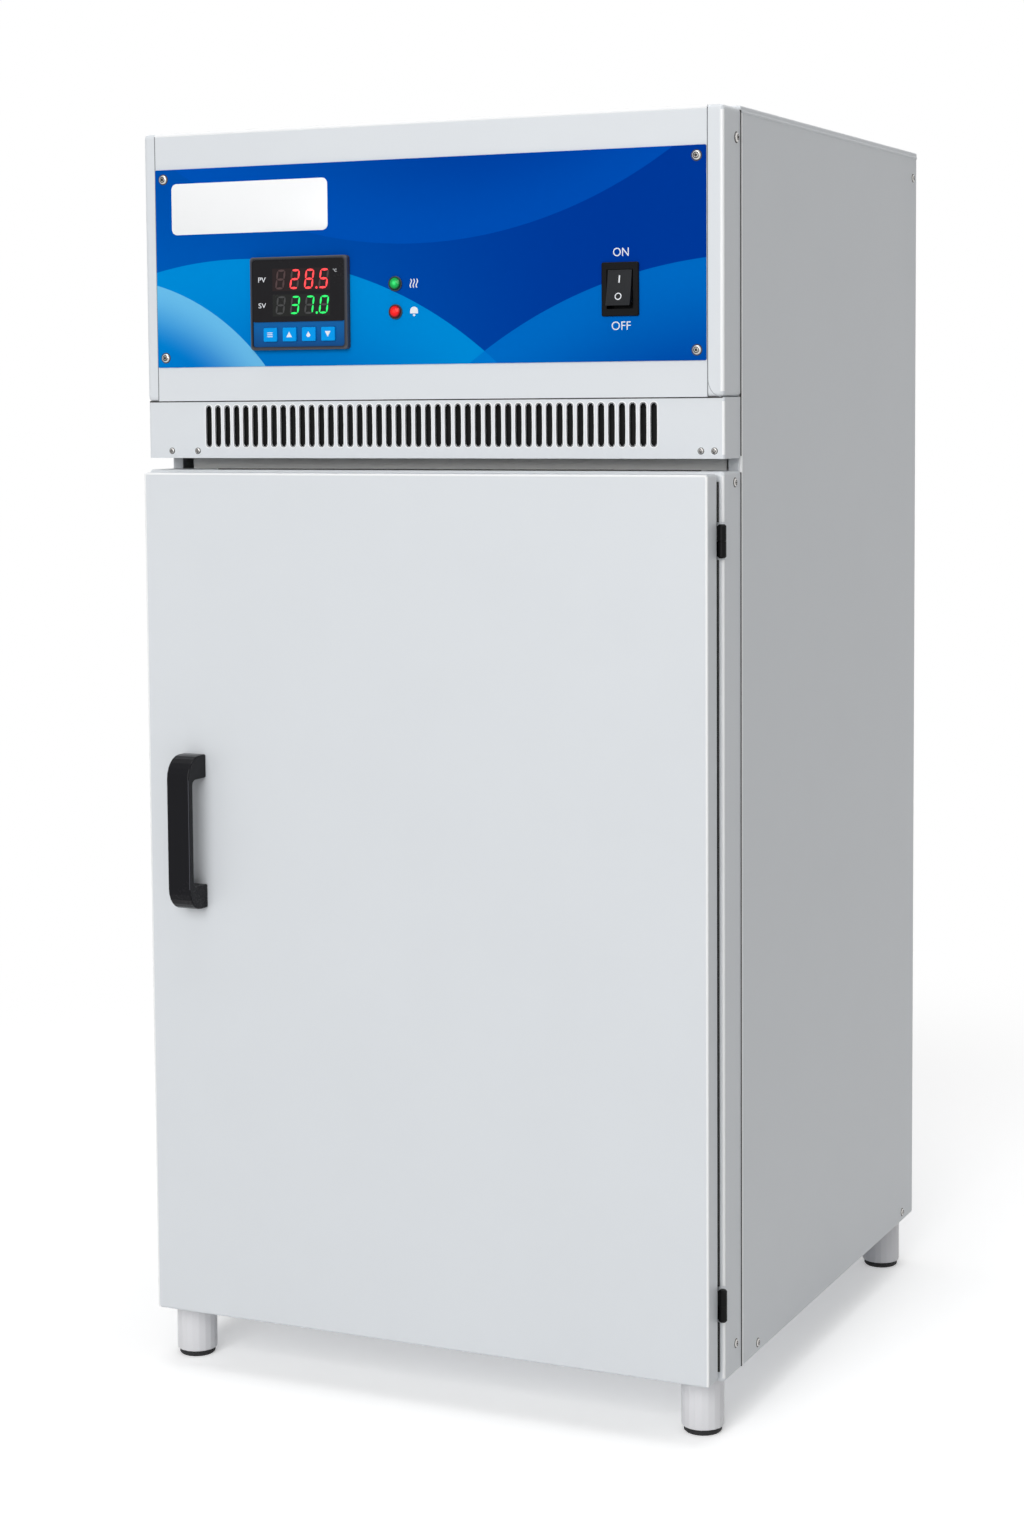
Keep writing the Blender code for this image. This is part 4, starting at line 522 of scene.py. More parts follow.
# Painted shade: the dark of screw recesses, of the rings under screw heads and of the lines in the seams between
# sheets
PAINTED_SHADE_DARK = coated("screw_recess", rgba(38, 36, 35), 0.5, **PRINTED_GRAIN)
SATIN_BLACK = coated("satin_black_handle", rgba(20, 20, 24), 0.22, specular=0.12, **HANDLE_GRAIN)
# Painted highlight: the grey line on the handle's edge
PAINTED_GLINT_GREY = coated("handle_edge_glint", rgba(72, 73, 80), 0.30, dimples=2200.0, depth=0.00002, specular=0.30)
SWITCH_BLACK = coated("switch_black", rgba(9, 9, 11), 0.34, specular=0.10, **MOULDED_GRAIN)
ROCKER_BLACK = coated("rocker_black", rgba(23, 25, 29), 0.30, specular=0.18, **MOULDED_GRAIN)
KEY_BLUE = coated("key_face_blue", rgba(0, 158, 244), 0.38, dimples=2400.0, depth=0.00002, specular=0.08)
UNLIT_RED = coated("unlit_red_segments", rgba(60, 32, 33), 0.4, **UNLIT_GRAIN)
UNLIT_GREY = coated("unlit_grey_segments", rgba(46, 47, 48), 0.4, **UNLIT_GRAIN)
HINGE_BLACK = coated("hinge_black", rgba(12, 12, 13), 0.42, dimples=1800.0, depth=0.00003, specular=0.12)
RUBBER_BLACK = coated("pad_rubber", rgba(18, 18, 19), 0.72, dimples=900.0, depth=0.0001)
# Gasket rubber; also the grey of the fold line at the right end cap, as painted shade
GASKET_AND_FOLD_SHADE_GREY = coated("gasket_rubber", rgba(176, 180, 184), 0.62, dimples=1400.0, depth=0.00004)
# The black of the dust screen, which also stands in for the shade inside, and of the slots' inner edges, as
# painted shade
SCREEN_AND_SHADE_BLACK = coated("dust_screen", rgba(9, 9, 10), 0.95, dimples=420.0, depth=0.0008, tone=0.3)
FOAM = coated("insulating_foam", rgba(232, 220, 178), 0.9, dimples=260.0, depth=0.0006, tone=0.10)
LINER_STEEL = brushed("liner_steel", rgba(190, 192, 196), (1.5, 60.0, 60.0))
RACK_STEEL = brushed("rack_steel", rgba(200, 202, 206), (60.0, 1.5, 60.0))
GALVANISED = brushed("galvanised_sheet", rgba(176, 180, 186), (60.0, 60.0, 1.5), roughness=0.42)
ALUMINIUM = brushed("aluminium_sheet", rgba(205, 207, 210), (40.0, 40.0, 2.0), roughness=0.34)
COPPER = brushed("copper_tube", rgba(196, 118, 84), (2.0, 60.0, 60.0), roughness=0.30)
SCREW_STEEL = brushed("screw_steel", rgba(206, 204, 201), (40.0, 40.0, 40.0), roughness=0.30)
BEZEL_DARK = lamp_bezel_plastic()
CONTROL_PRINT = printed_plate()
CASE_PLASTIC = controller_case_plastic()
WINDOW_GLASS = display_glass()
GREEN_LENS = lamp_lens(
    "green_lens",
    "heater_lamp_lens",
    core=rgba(60, 225, 120),
    body=rgba(0, 158, 70),
    rim=rgba(0, 52, 30),
)
RED_LENS = lamp_lens(
    "red_lens",
    "alarm_lamp_lens",
    core=rgba(255, 52, 48),
    body=rgba(222, 6, 14),
    rim=rgba(72, 4, 8),
)
RED_SEGMENTS = glowing("red_segments", rgba(255, 62, 66), 0.9)
GREEN_SEGMENTS = glowing("green_segments", rgba(20, 222, 96), 0.8)

FINISH_OF_SLOT = {
    "white_paint": WHITE_PAINT,
    "galvanised": GALVANISED,
    "stainless": LINER_STEEL,
    "foam": FOAM,
    "blue_plate": CONTROL_PRINT,
    "dark_window": WINDOW_GLASS,
    "key_blue": KEY_BLUE,
    "green_lens": GREEN_LENS,
    "red_lens": RED_LENS,
    "black_plastic": SATIN_BLACK,
    "black_rubber": RUBBER_BLACK,
    "grey_rubber": GASKET_AND_FOLD_SHADE_GREY,
    "black_steel": HINGE_BLACK,
    "aluminium": ALUMINIUM,
    "copper": COPPER,
    "grey_plastic": CASE_PLASTIC,
}
FINISH_OF_NODE = {
    "left_shelf_rack": RACK_STEEL,
    "right_shelf_rack": RACK_STEEL,
    "heater_lamp_bezel": BEZEL_DARK,
    "alarm_lamp_bezel": BEZEL_DARK,
    "switch_housing": SWITCH_BLACK,
    "switch_rocker": ROCKER_BLACK,
    "front_frame": NECK_LIGHTENED_WHITE,
    "front_left_leg": LEG_LIGHTENED_WHITE,
    "front_right_leg": LEG_LIGHTENED_WHITE,
    "rear_left_leg": LEG_LIGHTENED_WHITE,
    "rear_right_leg": LEG_LIGHTENED_WHITE,
}


def dress_nodes():
    """Gives every CAD node the finish of its slot, or its own."""
    slots = {part["node"]: part["material_slot"] for part in frame["record"]["subparts"]}
    for node, piece in NODES.items():
        finish = FINISH_OF_NODE.get(node) or FINISH_OF_SLOT[slots[node]]
        piece.data.materials.clear()
        piece.data.materials.append(finish)


dress_nodes()


# Modelling helpers

NEAR_ZERO = 0.00001
# How far a normal or a direction has to point along an axis to count as lying along it
ALONG = 0.9
# Which way a copy's +Z turns: to the front, the right side or the back
TURN_TO = {
    "front": Matrix.Rotation(math.pi / 2, 4, "X"),
    "right": Matrix.Rotation(math.pi / 2, 4, "Y"),
    "back": Matrix.Rotation(-math.pi / 2, 4, "X"),
}


def primitive(add, **given):
    """A new primitive from one of Blender's add operators, selected alone."""
    bpy.ops.object.select_all(action="DESELECT")
    add(**given)
    return bpy.context.object


def pick(piece):
    """Selects one piece alone."""
    bpy.ops.object.select_all(action="DESELECT")
    piece.select_set(True)
    bpy.context.view_layer.objects.active = piece


def settle(piece):
    """Moves a piece's place into its mesh, so that its object sits at the origin."""
    pick(piece)
    bpy.ops.object.transform_apply(location=True, rotation=True, scale=True)


def edit(piece, mode="FACE"):
    """Opens a piece in edit mode."""
    pick(piece)
    bpy.ops.object.mode_set(mode="EDIT")
    bpy.ops.mesh.select_mode(type=mode)


def choose(piece, kind, wanted):
    """In edit mode, selects the verts, edges or faces that a test accepts, and nothing else."""
    mesh = bmesh.from_edit_mesh(piece.data)
    for vert in mesh.verts:
        vert.select_set(False)
    for element in getattr(mesh, kind):
        element.select_set(wanted(element))
    mesh.select_flush_mode()
    bmesh.update_edit_mesh(piece.data)


def close_edit():
    """Leaves edit mode."""
    bpy.ops.object.mode_set(mode="OBJECT")


def thicken(piece, thickness, offset=1.0):
    """Gives a flat piece its thickness, towards its face with an offset of 1 and away from it with -1."""
    wall = piece.modifiers.new("wall", "SOLIDIFY")
    wall.thickness = thickness
    wall.offset = offset
    pick(piece)
    bpy.ops.object.modifier_apply(modifier=wall.name)


def deliver(piece, name, material, body="cabinet"):
    """Names a finished piece, paints it unless it is painted, settles it and hands it to its body."""
    settle(piece)
    piece.name = name
    piece.data.name = name
    if material:
        piece.data.materials.clear()
        piece.data.materials.append(material)
    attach(piece, body)
    return piece


def copy_to(model, matrix):
    """A copy of a model with its own mesh, placed by a matrix."""
    twin = model.copy()
    twin.data = model.data.copy()
    twin.data.transform(matrix)
    bpy.context.scene.collection.objects.link(twin)
    return twin


def joined(pieces):
    """Several pieces as one."""
    bpy.ops.object.select_all(action="DESELECT")
    for piece in pieces:
        piece.select_set(True)
    bpy.context.view_layer.objects.active = pieces[0]
    bpy.ops.object.join()
    return pieces[0]


def drop(model):
    """Deletes a model once its copies are made."""
    bpy.data.objects.remove(model, do_unlink=True)


# Stage: a pale floor that turns white round the object, a white surround, and soft lamps

FLOOR_SIZE = 60.0
FLOOR_FADE_START = 0.8
FLOOR_FADE_END = 2.2
FLOOR_LIFT = 0.345
FLOOR_GREY = 0.70
WORLD_LEVEL = 0.19
KEY_LAMP = {"place": (0.5, -7.2, 3.4), "target": (0.0, 0.0, 0.6), "size": 4.6, "energy": 328.0}
FILL_LAMP = {"place": (3.0, -5.0, 2.0), "target": (0.3, 0.0, 0.6), "size": 2.0, "energy": 8.0}
TOP_LAMP = {"place": (0.2, 0.2, 8.0), "target": (0.0, 0.0, 0.0), "size": 5.5, "energy": 262.0}


def seen_only(shade):
    """1 for rays that only show the surround: from the camera, off metal, or through glass."""
    path = shade.node("ShaderNodeLightPath").outputs
    seen = shade.math("ADD", path["Is Camera Ray"], path["Is Glossy Ray"], clamp=True)
    return shade.math("ADD", seen, path["Is Transmission Ray"], clamp=True)


def make_world():
    """White where it is seen, and level grey light where it lights."""
    world = bpy.data.worlds.new("surround")
    world.use_nodes = True
    bpy.context.scene.world = world
    shade = Shade(world.node_tree)
    level = shade.step(seen_only(shade), 0.0, 1.0, WORLD_LEVEL, 1.0)
    shade.fill(world.node_tree.nodes["Background"], Color=WHITE, Strength=level)


def make_floor():
    """A wide pale floor that takes the object's shadow."""
    floor = primitive(bpy.ops.mesh.primitive_plane_add, size=FLOOR_SIZE, location=(0.0, 0.0, 0.0))
    floor.name = "floor"
    material, shade, surface = new_material("pale_floor")
    seen = seen_only(shade)
    x, y, _ = shade.axes(shade.place())
    far = shade.step(shade.distance(x, y), FLOOR_FADE_START, FLOOR_FADE_END)
    white_out = shade.math("MULTIPLY", shade.step(far, 0.0, 1.0), seen)
    near_colour = shade.mix(seen, (FLOOR_GREY, FLOOR_GREY, FLOOR_GREY, 1.0), WHITE)
    near_lift = shade.math("MULTIPLY", seen, FLOOR_LIFT)
    shade.fill(
        surface,
        Base_Color=shade.mix(white_out, near_colour, BLACK),
        Roughness=0.7,
        Specular_IOR_Level=0.0,
        Emission_Color=WHITE,
        Emission_Strength=shade.step(far, 0.0, 1.0, near_lift, seen),
    )
    floor.data.materials.append(material)


def make_lamp(name, place, target, size, energy):
    """A soft square lamp that points at a place."""
    data = bpy.data.lights.new(name, "AREA")
    data.size = size
    data.energy = energy
    lamp = bpy.data.objects.new(name, data)
    bpy.context.scene.collection.objects.link(lamp)
    lamp.location = place
    lamp.rotation_euler = (Vector(target) - Vector(place)).to_track_quat("-Z", "Y").to_euler()


bpy.context.scene.view_settings.view_transform = "Standard"
make_world()
make_floor()
make_lamp("key_lamp", **KEY_LAMP)
make_lamp("fill_lamp", **FILL_LAMP)
make_lamp("top_lamp", **TOP_LAMP)


# Fasteners

SCREW_SIDES = 24
# A screw's parts in shares of its radius across and of its rise upwards, with each step of its dome as
# an inset and a lift
HEAD_FOOT = 0.4
DOME_STEPS = ((0.10, 0.28), (0.20, 0.22), (0.25, 0.10))
HEXAGON_RADIUS = 0.40
CROSS_SIZE = (1.2, 0.30, 0.9)
CROSS_NARROWING = (0.55, 0.7, 1.0)
# Recess faces within these shares of the radius and the rise are painted dark: painted shade
SHADED_RECESS_REACH = 0.62
SHADED_RECESS_TOP = 0.97
# The dark ring under the head, a painted shadow: its radius and rise in shares
SHADOW_RING_RADIUS = 1.24
SHADOW_RING_RISE = 0.16
SCREW_MODELS = {
    "large": {"radius": 0.0045, "rise": 0.0022, "hexagon": True},
    "medium": {"radius": 0.0039, "rise": 0.0015, "hexagon": False},
    "small": {"radius": 0.0027, "rise": 0.0013, "hexagon": False},
}
PLATE_SCREW_INSET_X = 0.0095
PLATE_SCREW_INSET_Z = 0.0099
VENT_SCREW_UP = 0.0074
VENT_SCREWS_ACROSS = (-0.2936, -0.2624, 0.2972, 0.3110)
HEAD_SCREW_DOWN = 0.0290
BACK_SCREW_INSET = 0.012
BACK_SCREW_ROWS = 6
# The right side's screws: model, and place back from the collar's front and up from the underside
SIDE_SCREWS = {
    "head_upper": ("large", 0.0348, high_of("fascia_panel").z - CORNER.z - HEAD_SCREW_DOWN),
    "collar_upper": ("medium", 0.0305, 0.8810),
    "collar_lower": ("medium", 0.0315, 0.0300),
    "side_front_lower": ("medium", 0.0952, 0.0108),
    "side_rear_lower": ("medium", 0.5943, 0.0111),
    "side_rear_upper": ("medium", 0.6210, 1.2130),
}


def model_recess(radius, rise, hexagon):
    """What a screw's recess is cut with: a hexagon, or two crossed bars that narrow downwards."""
    if hexagon:
        cutter = primitive(
            bpy.ops.mesh.primitive_cylinder_add,
            vertices=6,
            radius=radius * HEXAGON_RADIUS,
            depth=rise,
            location=(0, 0, rise),
        )
        settle(cutter)
        return [cutter]
    bar = primitive(bpy.ops.mesh.primitive_cube_add, size=1.0, location=(0, 0, rise))
    length, width, depth = CROSS_SIZE
    bar.scale = (radius * length, radius * width, rise * depth)
    settle(bar)
    edit(bar)
    choose(bar, "faces", lambda face: face.normal.z < -ALONG)
    bpy.ops.transform.resize(value=CROSS_NARROWING)
    close_edit()
    return [bar, copy_to(bar, Matrix.Rotation(math.pi / 2, 4, "Z"))]


def model_screw(radius, rise, hexagon):
    """A screw along +Z from its seat at the origin: a dark ring under it as a painted shadow, a domed head, and
    its recess painted dark as painted shade.
    """
    head = primitive(
        bpy.ops.mesh.primitive_cylinder_add,
        vertices=SCREW_SIDES,
        radius=radius,
        depth=rise * HEAD_FOOT,
        location=(0, 0, rise * HEAD_FOOT / 2),
    )
    settle(head)
    edit(head)
    choose(head, "faces", lambda face: face.normal.z > ALONG)
    for inset, lift in DOME_STEPS:
        bpy.ops.mesh.inset(thickness=radius * inset, depth=0.0)
        bpy.ops.transform.translate(value=(0, 0, rise * lift))
    close_edit()
    for cutter in model_recess(radius, rise, hexagon):
        recess = head.modifiers.new("recess", "BOOLEAN")
        recess.operation = "DIFFERENCE"
        recess.object = cutter
        pick(head)
        bpy.ops.object.modifier_apply(modifier=recess.name)
        drop(cutter)
    head.data.materials.append(SCREW_STEEL)
    head.data.materials.append(PAINTED_SHADE_DARK)
    # The recess faces are painted dark: painted shade
    for face in head.data.polygons:
        central = math.hypot(face.center.x, face.center.y) < radius * SHADED_RECESS_REACH
        face.material_index = int(central and face.center.z < rise * SHADED_RECESS_TOP)
    # The dark ring round the head's foot: a painted shadow
    ring = primitive(
        bpy.ops.mesh.primitive_cylinder_add,
        vertices=SCREW_SIDES,
        radius=radius * SHADOW_RING_RADIUS,
        depth=rise * SHADOW_RING_RISE,
    )
    ring.data.materials.append(PAINTED_SHADE_DARK)
    head = joined([head, ring])
    bpy.ops.object.shade_smooth_by_angle(angle=math.radians(35))
    return head


def list_screws():
    """Each screw's name, model, direction and place: control plate, vent strip, right side and back."""
    screws = []
    inset = Vector((PLATE_SCREW_INSET_X, 0.0, PLATE_SCREW_INSET_Z))
    first, last = PLATE_LOW + inset, PLATE_HIGH - inset
    for side, x in (("left", first.x), ("right", last.x)):
        for level, z in (("lower", first.z), ("upper", last.z)):
            screws.append((f"plate_screw_{level}_{side}", "large", "front", Vector((x, PLATE_FACE, z))))
    for number, across in enumerate(VENT_SCREWS_ACROSS):
        place = Vector((CORNER.x + across, VENT_LOW.y, VENT_LOW.z + VENT_SCREW_UP))
        screws.append((f"vent_screw_{number + 1}", "small", "front", place))
    for name, (model, back, up) in SIDE_SCREWS.items():
        screws.append((f"{name}_screw", model, "right", Vector((SIDE_X, CORNER.y + back, CORNER.z + up))))
    low, high = box_of("back_panel")
    rise = (high.z - low.z - 2 * BACK_SCREW_INSET) / (BACK_SCREW_ROWS - 1)
    for column, x in enumerate((low.x + BACK_SCREW_INSET, high.x - BACK_SCREW_INSET)):
        for row in range(BACK_SCREW_ROWS):
            place = Vector((x, high.y, low.z + BACK_SCREW_INSET + rise * row))
            screws.append((f"back_screw_{column + 1}_{row + 1}", "small", "back", place))
    return screws


def place_screws():
    """A copy of its model for each screw."""
    models = {size: model_screw(**given) for size, given in SCREW_MODELS.items()}
    for name, size, way, place in list_screws():
        screw = copy_to(models[size], Matrix.Translation(place) @ TURN_TO[way])
        deliver(screw, name, None)
    for model in models.values():
        drop(model)


place_screws()


# Painted highlights on rounded edges, painted shade in the seams between sheets, and the door's outer seal, which
# also stands in for the shade in its gap

DOOR_EDGE_RADIUS = 0.0016
SHEET_EDGE_RADIUS = 0.0020
HEAD_EDGE_RADIUS = 0.0026
HINGE_CLEARANCE = 0.002
SIDE_SEAM_RADIUS = 0.0009
HEAD_SEAM_RADIUS = 0.0008
CAP_SEAM_RADIUS = 0.0005
SEAM_SINK = 0.0001
CAP_SEAM_FOOT = 0.001
CAP_SEAM_TOP = 0.003
ROLL_RADIUS = 0.0020
ROLL_PROUD = 0.0011
TOP_ROLL_INSET = 0.0014
TOP_ROLL_SINK = 0.0006
NECK_LINE_RADIUS = 0.0006
NECK_LINE_PROUD = 0.0002
NECK_LINE_ENDS = (-0.240, 0.296)
FOLD_WIDTH = 0.0135
FOLD_HEIGHT = 0.0170
FOLD_LINE = 0.0007
FOLD_INSET_X = 0.0003
FOLD_INSET_Z = 0.0002
SEAL_RADIUS = 0.0016
SEAL_SHORT = 0.006
TOP_SEAL_SHORT = 0.012
GLINT_RADIUS = 0.0005
GLINT_INSET = 0.0007
HANDLE_BEND = 0.0235


def lay_line(name, start, end, radius, material, body="cabinet"):
    """A straight round line between two points."""
    way = end - start
    line = primitive(bpy.ops.mesh.primitive_cylinder_add, vertices=16, radius=radius, depth=way.length)
    bpy.ops.object.shade_smooth_by_angle(angle=math.radians(50))
    turn = way.to_track_quat("Z", "Y").to_matrix().to_4x4()
    line.data.transform(Matrix.Translation((start + end) / 2) @ turn)
    return deliver(line, name, material, body)


def upright_line(name, x, y, low_z, high_z, radius, material, body="cabinet"):
    """An upright line."""
    return lay_line(name, Vector((x, y, low_z)), Vector((x, y, high_z)), radius, material, body)


def level_line(name, low_x, high_x, y, z, radius, material, body="cabinet"):
    """A level line from left to right."""
    return lay_line(name, Vector((low_x, y, z)), Vector((high_x, y, z)), radius, material, body)


def runs_between_hinges(low_z, high_z):
    """The upright stretches between two heights that miss both hinges, each as its lower and upper end."""
    stops = [low_z]
    for hinge in ("lower", "upper"):
        stops.append(low_of(f"{hinge}_hinge_fixed_leaf").z - HINGE_CLEARANCE)
        stops.append(high_of(f"{hinge}_hinge_door_leaf").z + HINGE_CLEARANCE)
    stops.append(high_z)
    return list(zip(stops[0::2], stops[1::2]))


def make_door_highlight_edges():
    """Lines along the rounded edges of the door's skin, whiter than its paint: a painted highlight."""
    low, high = box_of("door_skin")
    radius = DOOR_EDGE_RADIUS
    left, right, front, top = low.x + radius, high.x - radius, low.y + radius, high.z - radius
    for name, x in (("left", left), ("right", right)):
        upright_line(f"door_{name}_edge", x, front, low.z + radius, top, radius, HIGHLIGHT_WHITE, "door")
    level_line("door_top_edge", left, right, front, top, radius, HIGHLIGHT_WHITE, "door")


def make_cabinet_highlight_edges():
    """The rounded right edges of the collar and the head, and the fascia's top edge, as lines whiter than the
    paint: a painted highlight.
    """
    edges = (
        ("door_collar", SHEET_EDGE_RADIUS),
        ("vent_strip", SHEET_EDGE_RADIUS),
        ("right_end_cap", HEAD_EDGE_RADIUS),
    )
    for node, radius in edges:
        low, high = box_of(node)
        foot, top = low.z + 2 * radius, high.z - 2 * radius
        runs = runs_between_hinges(foot, top) if node == "door_collar" else [(foot, top)]
        for number, (start_z, end_z) in enumerate(runs):
            name = f"{node}_right_edge_{number + 1}"
            upright_line(name, high.x - radius, low.y + radius, start_z, end_z, radius, HIGHLIGHT_WHITE)
    low, high = box_of("fascia_panel")
    front, top = low.y + HEAD_EDGE_RADIUS, high.z - HEAD_EDGE_RADIUS
    level_line("fascia_top_edge", low.x, high.x, front, top, HEAD_EDGE_RADIUS, HIGHLIGHT_WHITE)


def make_side_rolls():
    """The rolled front and top edges of the right side panel; the front roll is whiter than the paint, a painted
    highlight.
    """
    low, high = box_of("right_side_panel")
    front = low.y + ROLL_RADIUS
    roll_x = SIDE_X - ROLL_RADIUS + ROLL_PROUD
    foot, top = low.z + ROLL_RADIUS, high.z - ROLL_RADIUS
    upright_line("side_front_roll", roll_x, front, foot, top, ROLL_RADIUS, HIGHLIGHT_WHITE)
    x, z = SIDE_X - TOP_ROLL_INSET, high.z - TOP_ROLL_SINK
    start, end = Vector((x, front, z)), Vector((x, high.y - ROLL_RADIUS, z))
    lay_line("side_top_roll", start, end, ROLL_RADIUS, WHITE_PAINT)


def make_seam_shades():
    """Dark lines of painted shade where sheets meet: before the side panel, under the head, at its caps and in the
    neck.
    """
    seam_y = (COLLAR_HIGH.y + low_of("right_side_panel").y) / 2
    stretches = (
        ("collar", COLLAR_LOW.z, COLLAR_HIGH.z),
        ("head", VENT_LOW.z, high_of("right_end_cap").z),
    )
    for name, low_z, high_z in stretches:
        foot, top = low_z + ROLL_RADIUS, high_z - ROLL_RADIUS
        upright_line(f"{name}_side_seam", SIDE_X - SEAM_SINK, seam_y, foot, top, SIDE_SEAM_RADIUS,
                     PAINTED_SHADE_DARK)
    level_line("head_front_seam", VENT_LOW.x + ROLL_RADIUS, VENT_HIGH.x - ROLL_RADIUS, VENT_LOW.y,
               VENT_HIGH.z - SEAM_SINK, HEAD_SEAM_RADIUS, PAINTED_SHADE_DARK)
    low, high = box_of("fascia_panel")
    for side, x in (("left", high_of("left_end_cap").x), ("right", low_of("right_end_cap").x)):
        upright_line(f"{side}_cap_seam", x, low.y + SEAM_SINK, low.z + CAP_SEAM_FOOT, high.z - CAP_SEAM_TOP,
                     CAP_SEAM_RADIUS, SEAM_SHADE_GREY)
    start_x, end_x = (CORNER.x + end for end in NECK_LINE_ENDS)
    level_line("neck_foot_line", start_x, end_x, low_of("front_frame").y - NECK_LINE_PROUD,
               COLLAR_HIGH.z + NECK_LINE_RADIUS, NECK_LINE_RADIUS, PAINTED_SHADE_DARK)


def model_quarter_arc(width, height, thickness):
    """A quarter of an ellipse as a thin round line in XY, down on its left and then across to the right."""
    arc = primitive(bpy.ops.mesh.primitive_circle_add, vertices=48, radius=1.0)
    edit(arc, "VERT")
    choose(arc, "verts", lambda vert: vert.co.x > NEAR_ZERO or vert.co.y > NEAR_ZERO)
    bpy.ops.mesh.delete(type="VERT")
    close_edit()
    arc.scale = (width, height, 1.0)
    settle(arc)
    bpy.ops.object.convert(target="CURVE")
    arc = bpy.context.object
    arc.data.bevel_depth = thickness / 2
    arc.data.bevel_resolution = 2
    bpy.ops.object.convert(target="MESH")
    return bpy.context.object


def make_cap_fold_shade():
    """The curved fold line at the foot of the right end cap, drawn in grey as painted shade."""
    low = low_of("right_end_cap")
    arc = model_quarter_arc(FOLD_WIDTH, FOLD_HEIGHT, FOLD_LINE)
    place = Vector((low.x + FOLD_WIDTH + FOLD_INSET_X, low.y, low.z + FOLD_HEIGHT + FOLD_INSET_Z))
    arc.data.transform(Matrix.Translation(place) @ TURN_TO["front"])
    deliver(arc, "cap_fold_line", GASKET_AND_FOLD_SHADE_GREY)


def make_outer_shade_seal():
    """A black lip behind the door's rim, broken at the hinges, which also stands in for the shade in the gap
    before the collar: painted shade.
    """
    low, high = box_of("door_inner_pan")
    y = (high.y + COLLAR_LOW.y) / 2
    x = high_of("door_skin").x - SEAL_RADIUS
    runs = runs_between_hinges(low.z + SEAL_SHORT, high.z - SEAL_SHORT)
    for number, (start_z, end_z) in enumerate(runs):
        upright_line(f"outer_seal_{number + 1}", x, y, start_z, end_z, SEAL_RADIUS, RUBBER_BLACK, "door")
    level_line("outer_seal_top", low.x + TOP_SEAL_SHORT, high.x - TOP_SEAL_SHORT, y, high.z - SEAL_RADIUS,
               SEAL_RADIUS, RUBBER_BLACK, "door")


def make_handle_glint():
    """A grey line that softens the right front edge of the handle's straight grip: a painted highlight."""
    low, high = box_of("door_handle")
    upright_line("handle_edge_glint", high.x - GLINT_INSET, low.y + GLINT_INSET, low.z + HANDLE_BEND,
                 high.z - HANDLE_BEND, GLINT_RADIUS, PAINTED_GLINT_GREY, "door")


make_door_highlight_edges()
make_cabinet_highlight_edges()
make_handle_glint()
make_side_rolls()
make_seam_shades()
make_cap_fold_shade()
make_outer_shade_seal()


# Prints and plates on the control plate

PRINT_RISE = 0.00012
NAME_PLATE_SIZE = (0.1833, 0.0006, 0.0525)
NAME_PLATE_CORNER = 0.0062
NAME_PLATE_SOFTENING = 0.4
NAME_PLATE_LEFT = 0.19565
NAME_PLATE_UP = 1.16125
SWITCH_WORD_SHIFT = 0.0004
ON_GAP = 0.0097
OFF_GAP = 0.0091
LAMP_MARK_GAP = 0.0140
WAVE_WIDTH = 0.13
WAVE_SWING = 0.09
WAVE_PITCH = 0.38
BELL_FLARE = 0.35
BELL_DROP = 2.2
BELL_FOOT = -1.1
CLAPPER_RADIUS = 0.34
CLAPPER_DOWN = 1.62


def print_shape(piece, name, material, x, z, width, height, face_y, body="cabinet"):
    """Lays a flat shape drawn in XY on a front face, fitted to its size and raised a hair."""
    pick(piece)
    if piece.type != "MESH":
        bpy.ops.object.convert(target="MESH")
    piece = bpy.context.object
    settle(piece)
    corners = [vert.co for vert in piece.data.vertices]
    low = Vector([min(corner[axis] for corner in corners) for axis in range(3)])
    high = Vector([max(corner[axis] for corner in corners) for axis in range(3)])
    piece.scale = (width / (high.x - low.x), height / (high.y - low.y), 1.0)
    middle = (low + high) / 2
    piece.data.transform(Matrix.Translation((-middle.x, -middle.y, 0.0)))
    settle(piece)
    thicken(piece, PRINT_RISE)
    piece.data.transform(Matrix.Translation((x, face_y, z)) @ TURN_TO["front"])
    return deliver(piece, name, material, body)


def lettering(words, weight=0.0):
    """Flat letters in Blender's own sans serif, drawn in XY."""
    text = primitive(bpy.ops.object.text_add, location=(0, 0, 0))
    text.data.body = words
    text.data.resolution_u = 6
    text.data.offset = weight
    return text


def make_name_plate():
    """The bare white plate at the upper left: a thin slab with round corners and a softened rim."""
    thickness = NAME_PLATE_SIZE[1]
    centre = Vector((CORNER.x - NAME_PLATE_LEFT, PLATE_FACE - thickness / 2, CORNER.z + NAME_PLATE_UP))
    slab = primitive(bpy.ops.mesh.primitive_cube_add, size=1.0, location=centre)
    slab.scale = NAME_PLATE_SIZE
    settle(slab)
    edit(slab, "EDGE")
    choose(slab, "edges", lambda edge: abs((edge.verts[0].co - edge.verts[1].co).normalized().y) > ALONG)
    bpy.ops.mesh.bevel(offset=NAME_PLATE_CORNER, segments=8, affect="EDGES")
    choose(slab, "edges", lambda edge: max(vert.co.y for vert in edge.verts) < centre.y)
    bpy.ops.mesh.bevel(offset=thickness * NAME_PLATE_SOFTENING, segments=2, affect="EDGES")
    close_edit()
    bpy.ops.object.shade_smooth_by_angle(angle=math.radians(40))
    deliver(slab, "name_plate", WHITE_PLATE)


